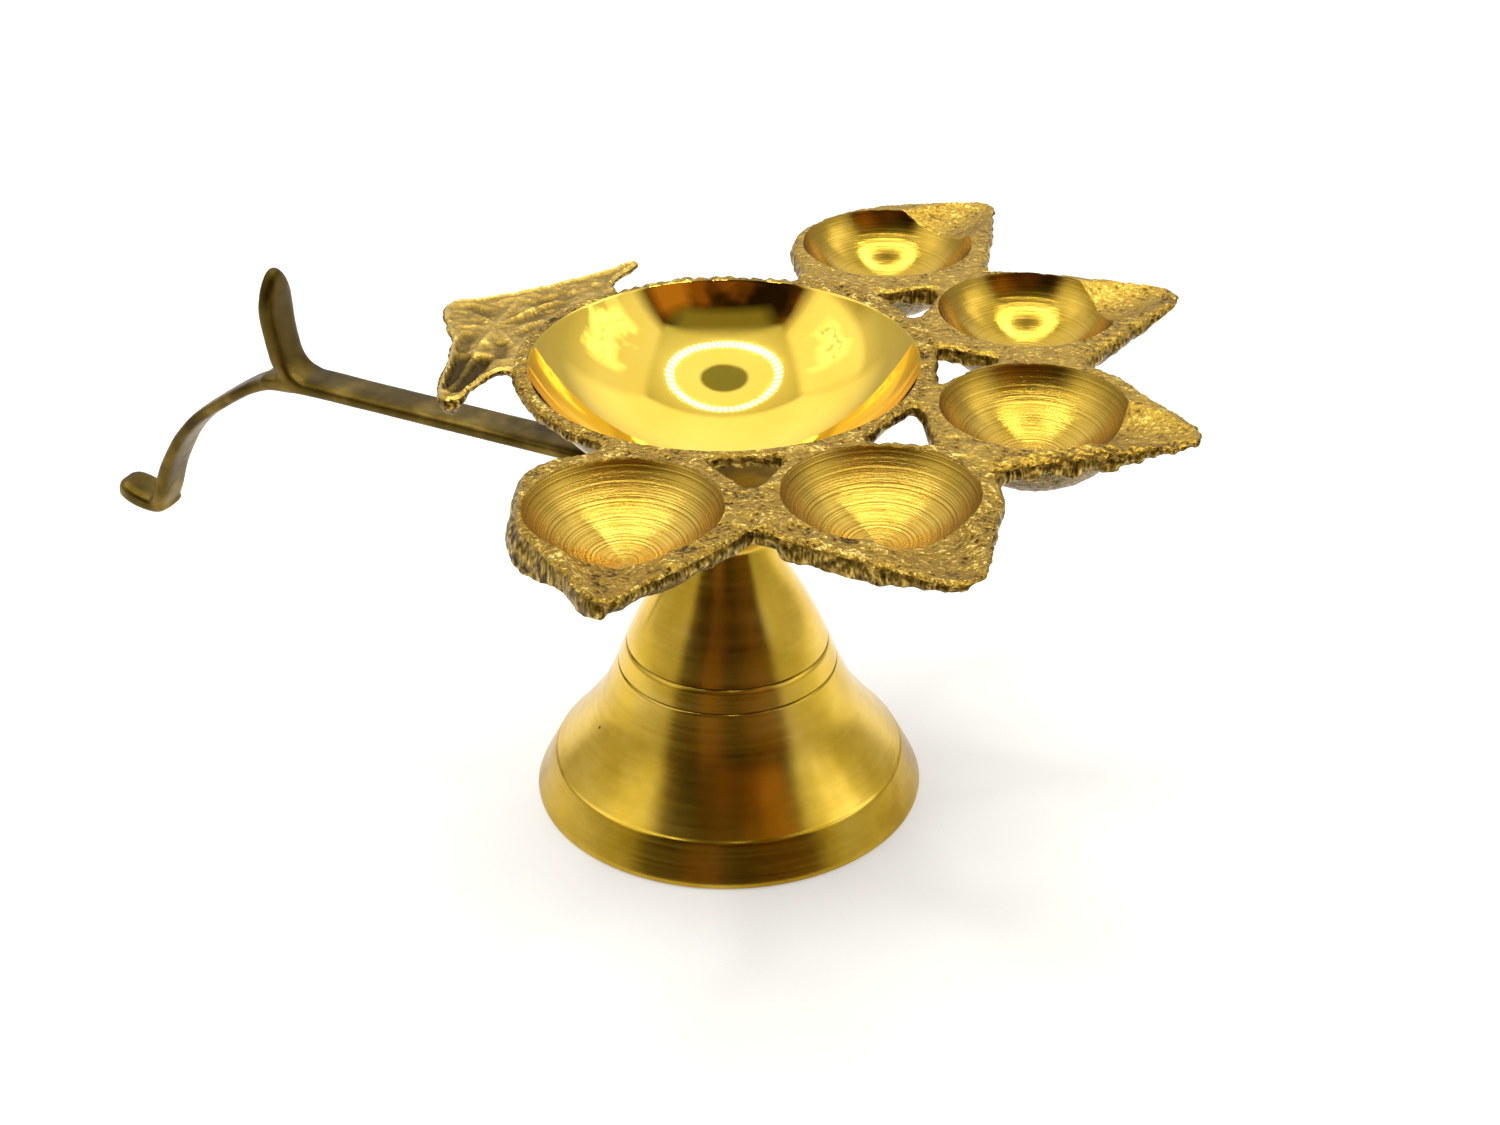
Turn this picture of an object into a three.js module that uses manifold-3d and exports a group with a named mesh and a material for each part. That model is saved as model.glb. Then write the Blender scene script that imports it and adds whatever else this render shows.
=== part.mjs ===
// A five-wick aarti lamp in cast brass, in millimetres with +Z up.
// A round bowl carries five leaf-shaped wick cups and a three-pointed hand guard, all one casting.
// A handle is clamped under the bowl by a hollow pedestal that screws onto a stud.
// The pieces are laid out round the pedestal's axis, with the handle close to -X and the floor at z = 0.
import * as THREE from "three";
import { mergeVertices } from "three/addons/utils/BufferGeometryUtils.js";
import Module from "manifold-3d";

// ---- Driving dimensions ----
const GAP = 0.3; // between neighbouring pieces
const PLATE_TOP = 76.8; // height of the rims above the floor

const BOWL = { radius: 30, depth: 17.4, wall: 2, rimWidth: 2.2, rimHeight: 3.6 };
const BOSS = { radius: 5.2, seatRadius: 9.6, length: 2.9 };

const CUP = { radius: 14.1, depth: 8.9, shellRadius: 16, shellDepth: 12.2 };
const LEAF = { margin: 2.5, tipRadius: 2, thickness: 3.6 };
const WEB = { thickness: 2.6, toBowl: 13, toLeaf: 9 };
const SPOUT = { radius: 11, depth: 2.2, start: 6 };
// Each leaf: the centre of its cup and the end of its tip. The fan is hand cut, so it isn't quite regular.
const PETALS = [
  { cup: [6.2, -47.5], tip: [15.4, -71.5] },
  { cup: [37.2, -29.5], tip: [57.5, -48] },
  { cup: [48.4, 4], tip: [74, 2.5] },
  { cup: [36.5, 36], tip: [57, 52] },
  { cup: [6.5, 52], tip: [17, 76] },
];

const GUARD = { thickness: 2, drop: 0.2 };

const STUD = { radius: 3, pitch: 1, turns: 8.3, chamfer: 0.6 };
const EYE = { radius: 9, thickness: 2.9 };
const WASHER = { radius: 8, thickness: 1 };
// The handle is clamped a little askew: turned this far from -X towards +Y.
const HANDLE_TURN = THREE.MathUtils.degToRad(2.5);
const BAR = { width: 7.5, thickness: 2.6, length: 84.5, start: 55.5, rise: 1.2 };
const THUMB = { width: 7.4, thickness: 2.8, height: 18, reach: 83 };
const TAIL = { width: 7, thickness: 2.3 };
const TOE = { width: 7.2, thickness: 3.2 };

const FOOT = { radius: 31.7, ringWidth: 3.2 };
const NECK = { radius: 7, collar: 8.4, floor: 12 };

const ROUND = 36; // facets round a large turning
const SMALL = 24; // facets round a small one

// ---- Heights of the clamped stack, from the bowl down ----
const bowlSeat = PLATE_TOP - BOWL.depth - BOWL.wall;
const eyeTop = bowlSeat - GAP;
const eyeBottom = eyeTop - EYE.thickness;
const washerTop = eyeBottom - GAP;
const washerBottom = washerTop - WASHER.thickness;
const pedestalTop = washerBottom - GAP;
const bore = STUD.radius + GAP;
const bowlEdge = BOWL.radius + BOWL.rimWidth;

// ---- Materials ----
function brass(name, color, roughness) {
  return new THREE.MeshStandardMaterial({ name, color, roughness, metalness: 1 });
}
const polishedBrass = brass("polished_brass", 0xe6b93c, 0.12);
const boredBrass = brass("bored_brass", 0xd0a045, 0.32);
const castBrass = brass("cast_brass", 0xb0904c, 0.5);
const handleBrass = brass("handle_brass", 0x7d6a38, 0.45);
const satinBrass = brass("satin_brass", 0xb08d2e, 0.3);
const screwBrass = brass("screw_brass", 0xbf9a45, 0.35);

// ---- Solids: joining and cutting closed meshes ----
const wasm = await Module();
wasm.setup();

function toSolid(geometry) {
  const bare = new THREE.BufferGeometry();
  const source = geometry.index ? geometry.toNonIndexed() : geometry;
  bare.setAttribute("position", source.getAttribute("position"));
  const merged = mergeVertices(bare, 1e-3);
  const corners = merged.index.array;
  const kept = [];
  for (let i = 0; i < corners.length; i += 3) {
    const [a, b, c] = corners.slice(i, i + 3);
    if (a !== b && b !== c && c !== a) kept.push(a, b, c);
  }
  return new wasm.Manifold(
    new wasm.Mesh({
      numProp: 3,
      vertProperties: merged.getAttribute("position").array,
      triVerts: new Uint32Array(kept),
    }),
  );
}

function toGeometry(solid) {
  const mesh = solid.getMesh();
  const geometry = new THREE.BufferGeometry();
  geometry.setAttribute("position", new THREE.BufferAttribute(mesh.vertProperties, 3));
  geometry.setIndex(new THREE.BufferAttribute(mesh.triVerts, 1));
  const faceted = geometry.toNonIndexed();
  faceted.computeVertexNormals();
  return faceted;
}

// A turning about Z. The profile is a list of [radius, height], anticlockwise with the radius to the right.
function turned(profile, facets) {
  const points = profile.map(([radius, height]) => new THREE.Vector2(radius, height));
  return new THREE.LatheGeometry(points, facets).rotateX(Math.PI / 2);
}

// A flat plate of a THREE.Shape, from one height to another.
function plate(shape, bottom, top, curveSegments = 6) {
  const options = { depth: top - bottom, bevelEnabled: false, curveSegments };
  return new THREE.ExtrudeGeometry(shape, options).translate(0, 0, bottom);
}

function cylinder(radius, bottom, top, facets = SMALL) {
  const height = top - bottom;
  const solid = new THREE.CylinderGeometry(radius, radius, height, facets);
  return solid.rotateX(Math.PI / 2).translate(0, 0, bottom + height / 2);
}

// A box that runs from one plan point to another, width across, between two heights.
function bridge(from, to, width, bottom, top) {
  const run = new THREE.Vector2().subVectors(to, from);
  const box = new THREE.BoxGeometry(run.length(), width, top - bottom);
  box.rotateZ(run.angle());
  return box.translate((from.x + to.x) / 2, (from.y + to.y) / 2, (bottom + top) / 2);
}

// ---- Profiles ----
// The radius of a sphere whose cap has this rim radius and depth.
const capRadius = (rim, depth) => (rim * rim + depth * depth) / (2 * depth);

// Points along a spherical cap hung from the height `top`, from its rim or some way in, to `stop`.
function capPoints(rim, depth, top, start, stop, steps) {
  const sphere = capRadius(rim, depth);
  const centre = top - depth + sphere;
  const first = Math.asin(start / sphere);
  const last = Math.asin(stop / sphere);
  return Array.from({ length: steps + 1 }, (_, i) => {
    const angle = first + ((last - first) * i) / steps;
    return [sphere * Math.sin(angle), centre - sphere * Math.cos(angle)];
  });
}

// ---- Lamp plate ----
function makeBowl() {
  const shellRim = BOWL.radius + BOWL.wall - 1;
  const shellDepth = BOWL.depth + BOWL.wall;
  const inside = capPoints(BOWL.radius, BOWL.depth, PLATE_TOP, 0, BOWL.radius, 8);
  const outside = capPoints(shellRim, shellDepth, PLATE_TOP, shellRim - 1, BOSS.seatRadius, 6);
  const bossEnd = bowlSeat - BOSS.length;
  const profile = [
    [0, bowlSeat],
    [bore, bowlSeat],
    [bore, bossEnd],
    [BOSS.radius, bossEnd],
    [BOSS.radius, bowlSeat],
    [BOSS.seatRadius, bowlSeat],
    ...outside.reverse(),
    [shellRim, PLATE_TOP - BOWL.rimHeight],
    [bowlEdge, PLATE_TOP - BOWL.rimHeight],
    [bowlEdge, PLATE_TOP],
    ...inside.reverse(),
  ];
  return turned(profile, ROUND);
}

// The plan outline of a leaf: a round end about the cup, and two straight sides that meet at the tip.
function leafShape(reach) {
  const around = CUP.radius + LEAF.margin;
  const tip = reach - LEAF.tipRadius;
  const turn = Math.acos((around - LEAF.tipRadius) / tip);
  const shape = new THREE.Shape();
  shape.absarc(0, 0, around, turn, 2 * Math.PI - turn, false);
  shape.absarc(tip, 0, LEAF.tipRadius, -turn, turn, false);
  shape.closePath();
  return shape;
}

// The shallow channel from a cup towards its leaf's tip: deepest at the cup's rim, and gone at the tip.
function spoutCutter(reach) {
  const length = reach - SPOUT.start;
  const rise = Math.atan(SPOUT.depth / (reach - CUP.radius));
  const channel = new THREE.CylinderGeometry(SPOUT.radius, SPOUT.radius, length, SMALL);
  channel.rotateZ(-Math.PI / 2).translate(-length / 2, 0, SPOUT.radius).rotateY(-rise);
  return channel.translate(reach, 0, PLATE_TOP);
}

// A thin wall on the line midway between two neighbouring cups, which parts their two leaves.
function partingWall(one, other) {
  const middle = new THREE.Vector2().addVectors(one, other).multiplyScalar(0.5);
  const along = new THREE.Vector2(-(other.y - one.y), other.x - one.x).normalize();
  const reach = along.multiplyScalar(4 * CUP.radius);
  const from = middle.clone().sub(reach);
  const to = middle.clone().add(reach);
  return bridge(from, to, GAP, PLATE_TOP - 2 * CUP.shellDepth, PLATE_TOP + 1);
}

const cups = PETALS.map(({ cup }) => new THREE.Vector2(...cup));
const tips = PETALS.map(({ tip }) => new THREE.Vector2(...tip));
const bowlCentre = new THREE.Vector2(0, 0);

// The bodies that a cut leaves: the one that holds the point (x, y) is the leaf's own.
function bodyAt(solid, { x, y }) {
  const holds = ({ min, max }) => min[0] < x && x < max[0] && min[1] < y && y < max[1];
  return solid.decompose().find((body) => holds(body.boundingBox()));
}

function makePetal(index) {
  const cup = cups[index];
  const axis = new THREE.Vector2().subVectors(tips[index], cup);
  const leafBottom = PLATE_TOP - LEAF.thickness;
  const webBottom = PLATE_TOP - WEB.thickness;
  const onLeaf = (geometry) => toSolid(geometry.rotateZ(axis.angle()).translate(cup.x, cup.y, 0));

  let leaf = onLeaf(plate(leafShape(axis.length()), leafBottom, PLATE_TOP));
  leaf = leaf.add(toSolid(bridge(bowlCentre, cup, WEB.toBowl, webBottom, PLATE_TOP)));
  const shell = capPoints(CUP.shellRadius, CUP.shellDepth, PLATE_TOP, 0, CUP.shellRadius, 5);
  leaf = leaf.add(onLeaf(turned([...shell, [0, PLATE_TOP]], SMALL)));
  for (const step of [-1, 1]) {
    const neighbour = cups[index + step];
    if (!neighbour) continue;
    leaf = leaf.add(toSolid(bridge(cup, neighbour, WEB.toLeaf, webBottom, PLATE_TOP)));
  }

  const overTop = PLATE_TOP + 1;
  leaf = leaf.subtract(toSolid(cylinder(bowlEdge + GAP, 0, overTop, 2 * ROUND)));
  for (const step of [-1, 1]) {
    const neighbour = cups[index + step];
    if (neighbour) leaf = leaf.subtract(toSolid(partingWall(cup, neighbour)));
  }
  leaf = bodyAt(leaf, cup);

  const hollow = capPoints(CUP.radius, CUP.depth, PLATE_TOP, 0, CUP.radius, 6);
  leaf = leaf.subtract(onLeaf(turned([...hollow, [CUP.radius, overTop], [0, overTop]], SMALL)));
  leaf = leaf.subtract(onLeaf(spoutCutter(axis.length())));
  return toGeometry(leaf);
}

// A flat three-pointed plate behind the bowl, which keeps the flames' heat off the hand.
function makeGuard() {
  const shape = new THREE.Shape();
  shape.moveTo(-49.5, 3);
  shape.quadraticCurveTo(-47, -3, -42, -10);
  shape.quadraticCurveTo(-38, -19, -35, -25.5);
  shape.lineTo(-32, -28.5);
  shape.quadraticCurveTo(-31, -24, -30.5, -17);
  shape.lineTo(-24, -17);
  shape.lineTo(-24, 15);
  shape.quadraticCurveTo(-29.4, 19, -28.6, 28.5);
  shape.lineTo(-30, 29.5);
  shape.quadraticCurveTo(-36.5, 18, -49.5, 3);
  const top = PLATE_TOP - GUARD.drop;
  const blank = toSolid(plate(shape, top - GUARD.thickness, top));
  const clearance = toSolid(cylinder(bowlEdge + GAP, 0, PLATE_TOP + 1, 2 * ROUND));
  return toGeometry(blank.subtract(clearance));
}

// ---- Handle ----
// A flat strap that follows a side view: its centre line is a spline through [x, z] points.
function strap(points, thickness, width, steps) {
  const line = new THREE.SplineCurve(points.map(([x, z]) => new THREE.Vector2(x, z)));
  const offset = (t, side) => {
    const across = line.getTangent(t).rotateAround(bowlCentre, Math.PI / 2);
    return line.getPoint(t).addScaledVector(across, (side * thickness) / 2);
  };
  const fractions = Array.from({ length: steps + 1 }, (_, i) => i / steps);
  const upper = fractions.map((t) => offset(t, 1));
  const lower = fractions.map((t) => offset(t, -1)).reverse();
  const shape = new THREE.Shape([...upper, ...lower]);
  const side = new THREE.ExtrudeGeometry(shape, { depth: width, bevelEnabled: false });
  return side.rotateX(Math.PI / 2).translate(0, width / 2, 0);
}

const barLine = (x) => BAR.start + (BAR.rise * -x) / BAR.length;

function makeBar() {
  const eye = toSolid(cylinder(EYE.radius, eyeBottom, eyeTop));
  const from = -(BOSS.radius + 2);
  const straight = [
    [from, barLine(from)],
    [-BAR.length, barLine(-BAR.length)],
  ];
  const bar = toSolid(strap(straight, BAR.thickness, BAR.width, 1));
  const hole = toSolid(cylinder(BOSS.radius + GAP, 0, PLATE_TOP));
  return toGeometry(eye.add(bar).subtract(hole));
}

// An upright blade, widest above its middle, with a rounded point.
function makeThumbRest() {
  const half = THUMB.width / 2;
  const { height } = THUMB;
  const shape = new THREE.Shape();
  shape.moveTo(-half * 0.87, 0);
  shape.quadraticCurveTo(-half * 1.18, height * 0.62, -half * 0.66, height * 0.82);
  shape.quadraticCurveTo(0, height * 1.18, half * 0.66, height * 0.82);
  shape.quadraticCurveTo(half * 1.18, height * 0.62, half * 0.87, 0);
  shape.closePath();
  const leaf = plate(shape, -THUMB.thickness / 2, THUMB.thickness / 2);
  const base = barLine(-THUMB.reach) + BAR.thickness / 2 + GAP;
  return leaf.rotateX(Math.PI / 2).rotateZ(Math.PI / 2).translate(-THUMB.reach, 0, base);
}

// The tail curls down behind the thumb rest.
function makeTail() {
  const line = [
    [-85.9, 55.7],
    [-90.9, 52.8],
    [-96.5, 49.1],
    [-101.4, 45.3],
    [-105.2, 41.1],
    [-109.2, 34.4],
    [-111.7, 27.8],
  ];
  return strap(line, TAIL.thickness, TAIL.width, 14);
}

// The toe is a nearly level pad at the foot of the tail.
function makeToe() {
  const line = [
    [-110.7, 25.4],
    [-116.5, 26.5],
    [-121.25, 28],
  ];
  return strap(line, TOE.thickness, TOE.width, 4);
}

// ---- Hidden fixing ----
function makeStud() {
  const top = bowlSeat - GAP;
  const end = pedestalTop - STUD.pitch * STUD.turns;
  const slim = STUD.radius - STUD.chamfer;
  const profile = [
    [0, end],
    [slim, end],
    [STUD.radius, end + STUD.chamfer],
    [STUD.radius, top],
    [0, top],
  ];
  return turned(profile, SMALL);
}

function makeWasher() {
  const profile = [
    [bore, washerBottom],
    [WASHER.radius, washerBottom],
    [WASHER.radius, washerTop],
    [bore, washerTop],
    [bore, washerBottom],
  ];
  return turned(profile, SMALL);
}

// ---- Pedestal ----
// A hollow bell: bevelled foot, concave flare, a band between two grooves, and a bullet-shaped neck.
function makePedestal() {
  const inFoot = FOOT.radius - FOOT.ringWidth;
  const flare = new THREE.QuadraticBezierCurve(
    new THREE.Vector2(28.4, 6.6),
    new THREE.Vector2(20.9, 15.4),
    new THREE.Vector2(17.8, 23.4),
  );
  const neck = new THREE.QuadraticBezierCurve(
    new THREE.Vector2(16.2, 27.4),
    new THREE.Vector2(12.4, 36.4),
    new THREE.Vector2(NECK.radius, 46.6),
  );
  const asPairs = (curve, steps) => curve.getPoints(steps).map(({ x, y }) => [x, y]);
  const profile = [
    [inFoot, 0],
    [FOOT.radius, 0],
    [31.2, 2],
    ...asPairs(flare, 5),
    ...asPairs(neck, 6),
    [NECK.collar, 48.6],
    [NECK.collar, pedestalTop],
    [bore, pedestalTop],
    [bore, pedestalTop - NECK.floor],
    [bore + 1.5, pedestalTop - NECK.floor - 1],
    [12.6, 25],
    [16.2, 17],
    [24.6, 6],
    [inFoot, 0],
  ];
  return turned(profile, ROUND);
}

// ---- Assembly ----
const lamp = new THREE.Group();
const handle = new THREE.Group();
handle.rotation.z = -HANDLE_TURN;
lamp.add(handle);

function place(name, geometry, material, group = lamp) {
  const mesh = new THREE.Mesh(geometry, material);
  mesh.name = name;
  group.add(mesh);
}

place("bowl", makeBowl(), polishedBrass);
PETALS.forEach((_, index) => place(`petal_cup_${index + 1}`, makePetal(index), boredBrass));
place("hand_guard", makeGuard(), castBrass);
place("handle_bar", makeBar(), handleBrass, handle);
place("thumb_rest", makeThumbRest(), handleBrass, handle);
place("handle_tail", makeTail(), handleBrass, handle);
place("handle_toe", makeToe(), handleBrass, handle);
place("stud", makeStud(), screwBrass);
place("clamp_washer", makeWasher(), screwBrass);
place("pedestal", makePedestal(), satinBrass);

// The origin is the middle of the whole lamp's footprint, on the floor.
const centre = new THREE.Box3().setFromObject(lamp).getCenter(new THREE.Vector3());
lamp.position.set(-centre.x, -centre.y, 0);

export default lamp;
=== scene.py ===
"""The detailed visual model of a five-wick brass aarti lamp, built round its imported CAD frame.

Shapes are worked out in millimetres about the pedestal's axis, with the floor at z = 0 and the
handle along -X. mesh_of() turns them into metres in the frame's own coordinates.
"""

import itertools
import math
from functools import partial, reduce
from types import SimpleNamespace as Sizes

import bpy
import numpy as np
from mathutils import Matrix, Vector
from mathutils.geometry import delaunay_2d_cdt
from mathutils.kdtree import KDTree


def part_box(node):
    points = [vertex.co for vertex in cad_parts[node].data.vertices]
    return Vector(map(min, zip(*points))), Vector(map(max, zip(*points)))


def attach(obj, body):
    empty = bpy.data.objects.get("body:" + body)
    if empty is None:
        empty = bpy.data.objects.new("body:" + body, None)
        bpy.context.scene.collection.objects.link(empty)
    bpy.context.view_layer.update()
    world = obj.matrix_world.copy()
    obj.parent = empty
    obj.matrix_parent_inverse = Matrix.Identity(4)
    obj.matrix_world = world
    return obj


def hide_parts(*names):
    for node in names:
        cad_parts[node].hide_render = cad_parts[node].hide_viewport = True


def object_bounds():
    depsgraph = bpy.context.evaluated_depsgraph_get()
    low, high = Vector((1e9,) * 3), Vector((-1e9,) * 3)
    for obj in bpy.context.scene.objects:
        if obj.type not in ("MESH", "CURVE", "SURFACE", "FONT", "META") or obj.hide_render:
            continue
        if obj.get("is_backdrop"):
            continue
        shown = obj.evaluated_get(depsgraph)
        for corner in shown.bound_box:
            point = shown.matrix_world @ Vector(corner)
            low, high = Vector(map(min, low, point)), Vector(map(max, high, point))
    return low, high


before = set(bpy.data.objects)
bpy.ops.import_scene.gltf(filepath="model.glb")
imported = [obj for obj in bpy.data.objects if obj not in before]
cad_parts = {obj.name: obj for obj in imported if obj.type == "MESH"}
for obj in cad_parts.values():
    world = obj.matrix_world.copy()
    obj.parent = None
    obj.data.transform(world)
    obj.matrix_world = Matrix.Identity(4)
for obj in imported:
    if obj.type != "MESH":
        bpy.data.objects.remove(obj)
cad_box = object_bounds()

MM = 0.001

# ---- Places taken from the CAD frame ----
pedestal_low, pedestal_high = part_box("pedestal")
FOOT = (pedestal_low + pedestal_high) / 2
FOOT.z = 0
PLATE_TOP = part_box("bowl")[1].z / MM
STUD_BOTTOM, STUD_TOP = (corner.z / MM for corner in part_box("stud"))
WASHER_BOTTOM, WASHER_TOP = (corner.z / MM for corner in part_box("clamp_washer"))

# ---- The lamp plate, seen from above (mm) ----
BOWL = Sizes(radius=30, depth=17.4, rim=32, rim_thickness=2)
BOWL_SHELL = Sizes(radius=31, depth=19.4, seat=9.6, boss=5.2, boss_length=2.9, bore=3.3)
CUP = Sizes(radius=14.1, depth=8.9, shell_radius=16, shell_depth=12.2)
SPOUT = Sizes(radius=11, depth=2.2)
LEAF_THICKNESS = 3.6
WEB_THICKNESS = 2.6
# How much thinner each leaf grows towards its tip, and how far an edge that faces +X is cut under.
TIP_TAPER = (0, 2, 2, 1.6, 1.2)
UNDERCUT = 1.2
# The first leaf's near wall leans out under its top edge, and hangs deeper than the rest.
LEAN, DEEPER = 1.4, 1.2
GUARD = Sizes(thickness=2, drop=0.2)
KEEL = Sizes(at=(-32.8, -26.8), radius=1.8, depth=1.7)

CUPS = [(6.2, -47.5), (37.2, -29.5), (48.4, 4), (36.5, 36), (6.5, 52)]
TIPS = [(15.4, -71.5), (57.5, -48), (74, 2.5), (57, 52), (17, 76)]

# The plate's edge, anticlockwise from the hand guard's near root. Rim arcs are filled in between.
LEAF_1_EDGE = [
    (-3.8, -32.4), (-5.2, -35), (-8.5, -38.2), (-10.6, -41.2), (-10.9, -44), (-10.1, -47),
    (-8.9, -50.2), (-7.4, -54), (-5.4, -57), (-2.7, -60), (0.2, -62.3), (3, -64.2),
    (6, -66.2), (8.4, -68.2), (10.6, -70), (12.8, -71.3), (14.9, -71.5), (16.4, -69.9),
    (17.8, -66.2), (19.3, -62.2), (21, -58), (22.6, -54.4), (23.8, -50.2), (24.6, -46.5),
]
LEAF_2_EDGE = [
    (26.5, -46.2), (30, -47.2), (35, -47.8), (40, -48.2), (45, -49), (50, -49.4),
    (54, -49.6), (57, -48.6), (58.2, -46.4), (57.6, -43), (56.4, -38.5), (55.4, -34),
    (54.6, -29), (53.6, -25), (52.2, -21.8), (50.4, -19.4),
]
LEAF_3_EDGE = [
    (50.8, -16.6), (53, -14), (57, -11), (61, -8), (65, -5), (69, -1.8), (72, 0.2),
    (73.8, 2.4), (73.2, 5.2), (71, 8), (67.5, 10.4), (63.5, 13), (60, 16), (56.8, 18.4),
    (53.4, 19.8), (50.8, 20.4),
]
LEAF_4_EDGE = [
    (51.6, 24), (52.6, 29), (54, 35), (55.6, 41), (57, 46.5), (57.2, 50.4), (55.4, 52.6),
    (52, 53), (47.5, 52.2), (42.5, 51.4), (37, 50.9), (31.8, 50.2), (28.2, 48.7), (25.8, 47.8),
]
LEAF_5_EDGE = [
    (24.4, 51), (23, 56), (21.6, 61), (20, 66.5), (18.4, 71.5), (17, 75.4), (14.6, 75.6),
    (11, 73.4), (6.5, 71.2), (2, 68.6), (-2.4, 64.8), (-6.2, 60.1), (-8.4, 54.6), (-9, 50),
    (-8, 45.4), (-5.4, 40.4), (-2.6, 36.6), (-1.3, 32.8),
]
GUARD_EDGE = [
    (-26.4, 17), (-28.6, 19), (-29.2, 21.6), (-29, 24.5), (-28.6, 27), (-28.5, 29.1),
    (-29.5, 29.6), (-30.4, 28.4), (-31.6, 24.8), (-34, 21), (-37, 16.6), (-40, 12.6),
    (-43, 9.2), (-46, 6.2), (-49.2, 4), (-49.4, 1.4), (-48, -1.6), (-45.6, -4.6),
    (-43, -8), (-41.6, -9.6), (-41.4, -11), (-40.4, -13), (-38.7, -17), (-37.2, -21.4),
    (-35.8, -25), (-34.2, -27.4), (-32.2, -28.2), (-31, -26.4), (-31.4, -23), (-31.2, -19.5),
    (-30.6, -16.4), (-29.4, -15), (-27.8, -16),
]

# The gaps between the bowl and each pair of leaves.
GAP_12 = [
    (10.8, -30.6), (14, -28.2), (17.4, -26.6), (20.4, -25.2), (21.4, -27), (21.2, -31),
    (21, -35), (19.6, -36), (16.6, -34.4), (13.6, -32.4),
]
GAP_23 = [
    (31.6, -3.2), (33.4, -3), (36.4, -8), (39.4, -13.2), (38, -14), (34.4, -14.5),
    (31, -15.8), (29.2, -15.6), (29.6, -11), (30.8, -6.4),
]
GAP_34 = [
    (28.4, 17.4), (31, 18), (35, 17.8), (38.4, 17.8), (38.2, 15.4), (36.1, 12.5),
    (34.6, 9.3), (33.6, 6.2), (32.4, 5.4), (30.8, 9.4), (29.6, 13),
]
GAP_45 = [
    (12, 32), (14.2, 34), (17.2, 36.2), (20.4, 37.8), (21.6, 36), (21.7, 31.6),
    (22.2, 27.6), (21.2, 25.6), (19.4, 26.4), (17.4, 28.6), (14.6, 30.6),
]

# Where the casting is parted into named pieces: from one point of an edge to another.
PARTINGS = [
    ((-27.8, -16), (-26.4, 17)),
    ((-3.8, -32.4), (10.8, -30.6)),
    ((20.4, -25.2), (29.2, -15.6)),
    ((31.6, -3.2), (32.4, 5.4)),
    ((28.4, 17.4), (21.2, 25.6)),
    ((14.6, 30.6), (-1.3, 32.8)),
    ((21, -35), (24.6, -46.5)),
    ((39.4, -13.2), (50.4, -19.4)),
    ((38.4, 17.8), (50.8, 20.4)),
    ((20.4, 37.8), (25.8, 47.8)),
]

# ---- Finish of the casting (mm) ----
GRID = 0.5
CLEARANCE = 0.6 * GRID
WALL_ROWS = 8
BOWL_SEGMENTS = 320
CUP_SEGMENTS = 160
CUP_RINGS = 76
SHELL_RINGS = 30
GROOVE = Sizes(pitch=1.05, depth=(0.03, 0.03, 0.024, 0.012, 0.01))
ROUNDED_EDGE = 0.55
FILE_STROKE = 2.3

# ---- Handle, as (x, z, width, thickness) along its centre line, before its turn in degrees (mm) ----
HANDLE_TURN = 2.5
BAR_LINE = [
    (-6.6, 55.6, 7.4, 2.7), (-20, 55.7, 7.5, 2.6), (-45, 56.05, 7.4, 2.6),
    (-66, 56.4, 7.4, 2.6), (-76, 56.6, 7.4, 2.8), (-83, 56.4, 7.3, 3), (-86, 55.8, 7, 2.8),
]
THUMB_LINE = [
    (-77.5, 57, 7.2, 1.8), (-80.4, 57.9, 7, 2.8), (-82.2, 60, 6.8, 3.4),
    (-82.9, 62.6, 6.9, 3.3), (-83.4, 65.6, 7.1, 3.2), (-83.7, 69, 7.5, 3.1),
    (-83.6, 71.6, 6.8, 3), (-83.5, 73.6, 5.2, 2.8), (-83.4, 75.2, 3.2, 2.3),
    (-83.3, 76.2, 1.2, 1.3),
]
TAIL_LINE = [
    (-80, 56.2, 7, 2.6), (-84.5, 55.8, 6.9, 2.5), (-87.5, 54.7, 6.8, 2.3),
    (-90.9, 52.9, 6.8, 2.2), (-96.5, 49.1, 6.9, 2.2), (-101.4, 45.3, 7, 2.2),
    (-105.2, 41.1, 7.1, 2.2), (-107.5, 37.5, 7.2, 2.3), (-109.2, 34.4, 7.2, 2.4),
    (-110.5, 31.3, 7.2, 2.5), (-111.5, 28.4, 7.2, 2.6), (-112.3, 26.6, 7, 2.6),
]
TOE_LINE = [
    (-111.4, 26.1, 6.6, 2.6), (-113.2, 25.7, 7, 3), (-116.4, 26.3, 7.4, 3.4),
    (-118.6, 27, 7.1, 3.4), (-120.1, 27.5, 6, 3.2), (-121, 27.8, 3.8, 2.4),
]
EYE = Sizes(radius=9, hole=5.5, thickness=2.9)

# ---- Pedestal: (radius, height) up the outside, then down the inside (mm) ----
FOOT_LINE = [(31.35, 0), (31.7, 0.3), (31.55, 1), (30.2, 3.65), (28.75, 6.4), (28.5, 6.75)]
FLARE_LINE = [(28.2, 7.1), (26.4, 9.2), (23.7, 12.6), (21.2, 16.2), (19.4, 19.8), (17.9, 23.2)]
BAND_LINE = [
    (17.82, 23.4), (17.45, 23.6), (17.72, 23.84), (16.44, 26.98), (16.05, 27.22), (16.3, 27.46),
]
NECK_LINE = [(16.22, 27.65), (14.1, 32.4), (12.1, 36.2), (10, 40), (8.4, 43.4), (7.2, 46.2)]
GROOVES = (23.6, 27.22)
COLLAR_LINE = [(7.1, 46.6), (7.4, 47.4), (8.2, 48.4), (8.4, 49), (8.4, 52.2), (8.1, 52.6)]
INSIDE_LINE = [(3.3, 52.6), (3.3, 40.6), (4.8, 39.6), (8.2, 34), (12.6, 25), (16.2, 17), (24.6, 6), (28.5, 0)]

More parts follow.
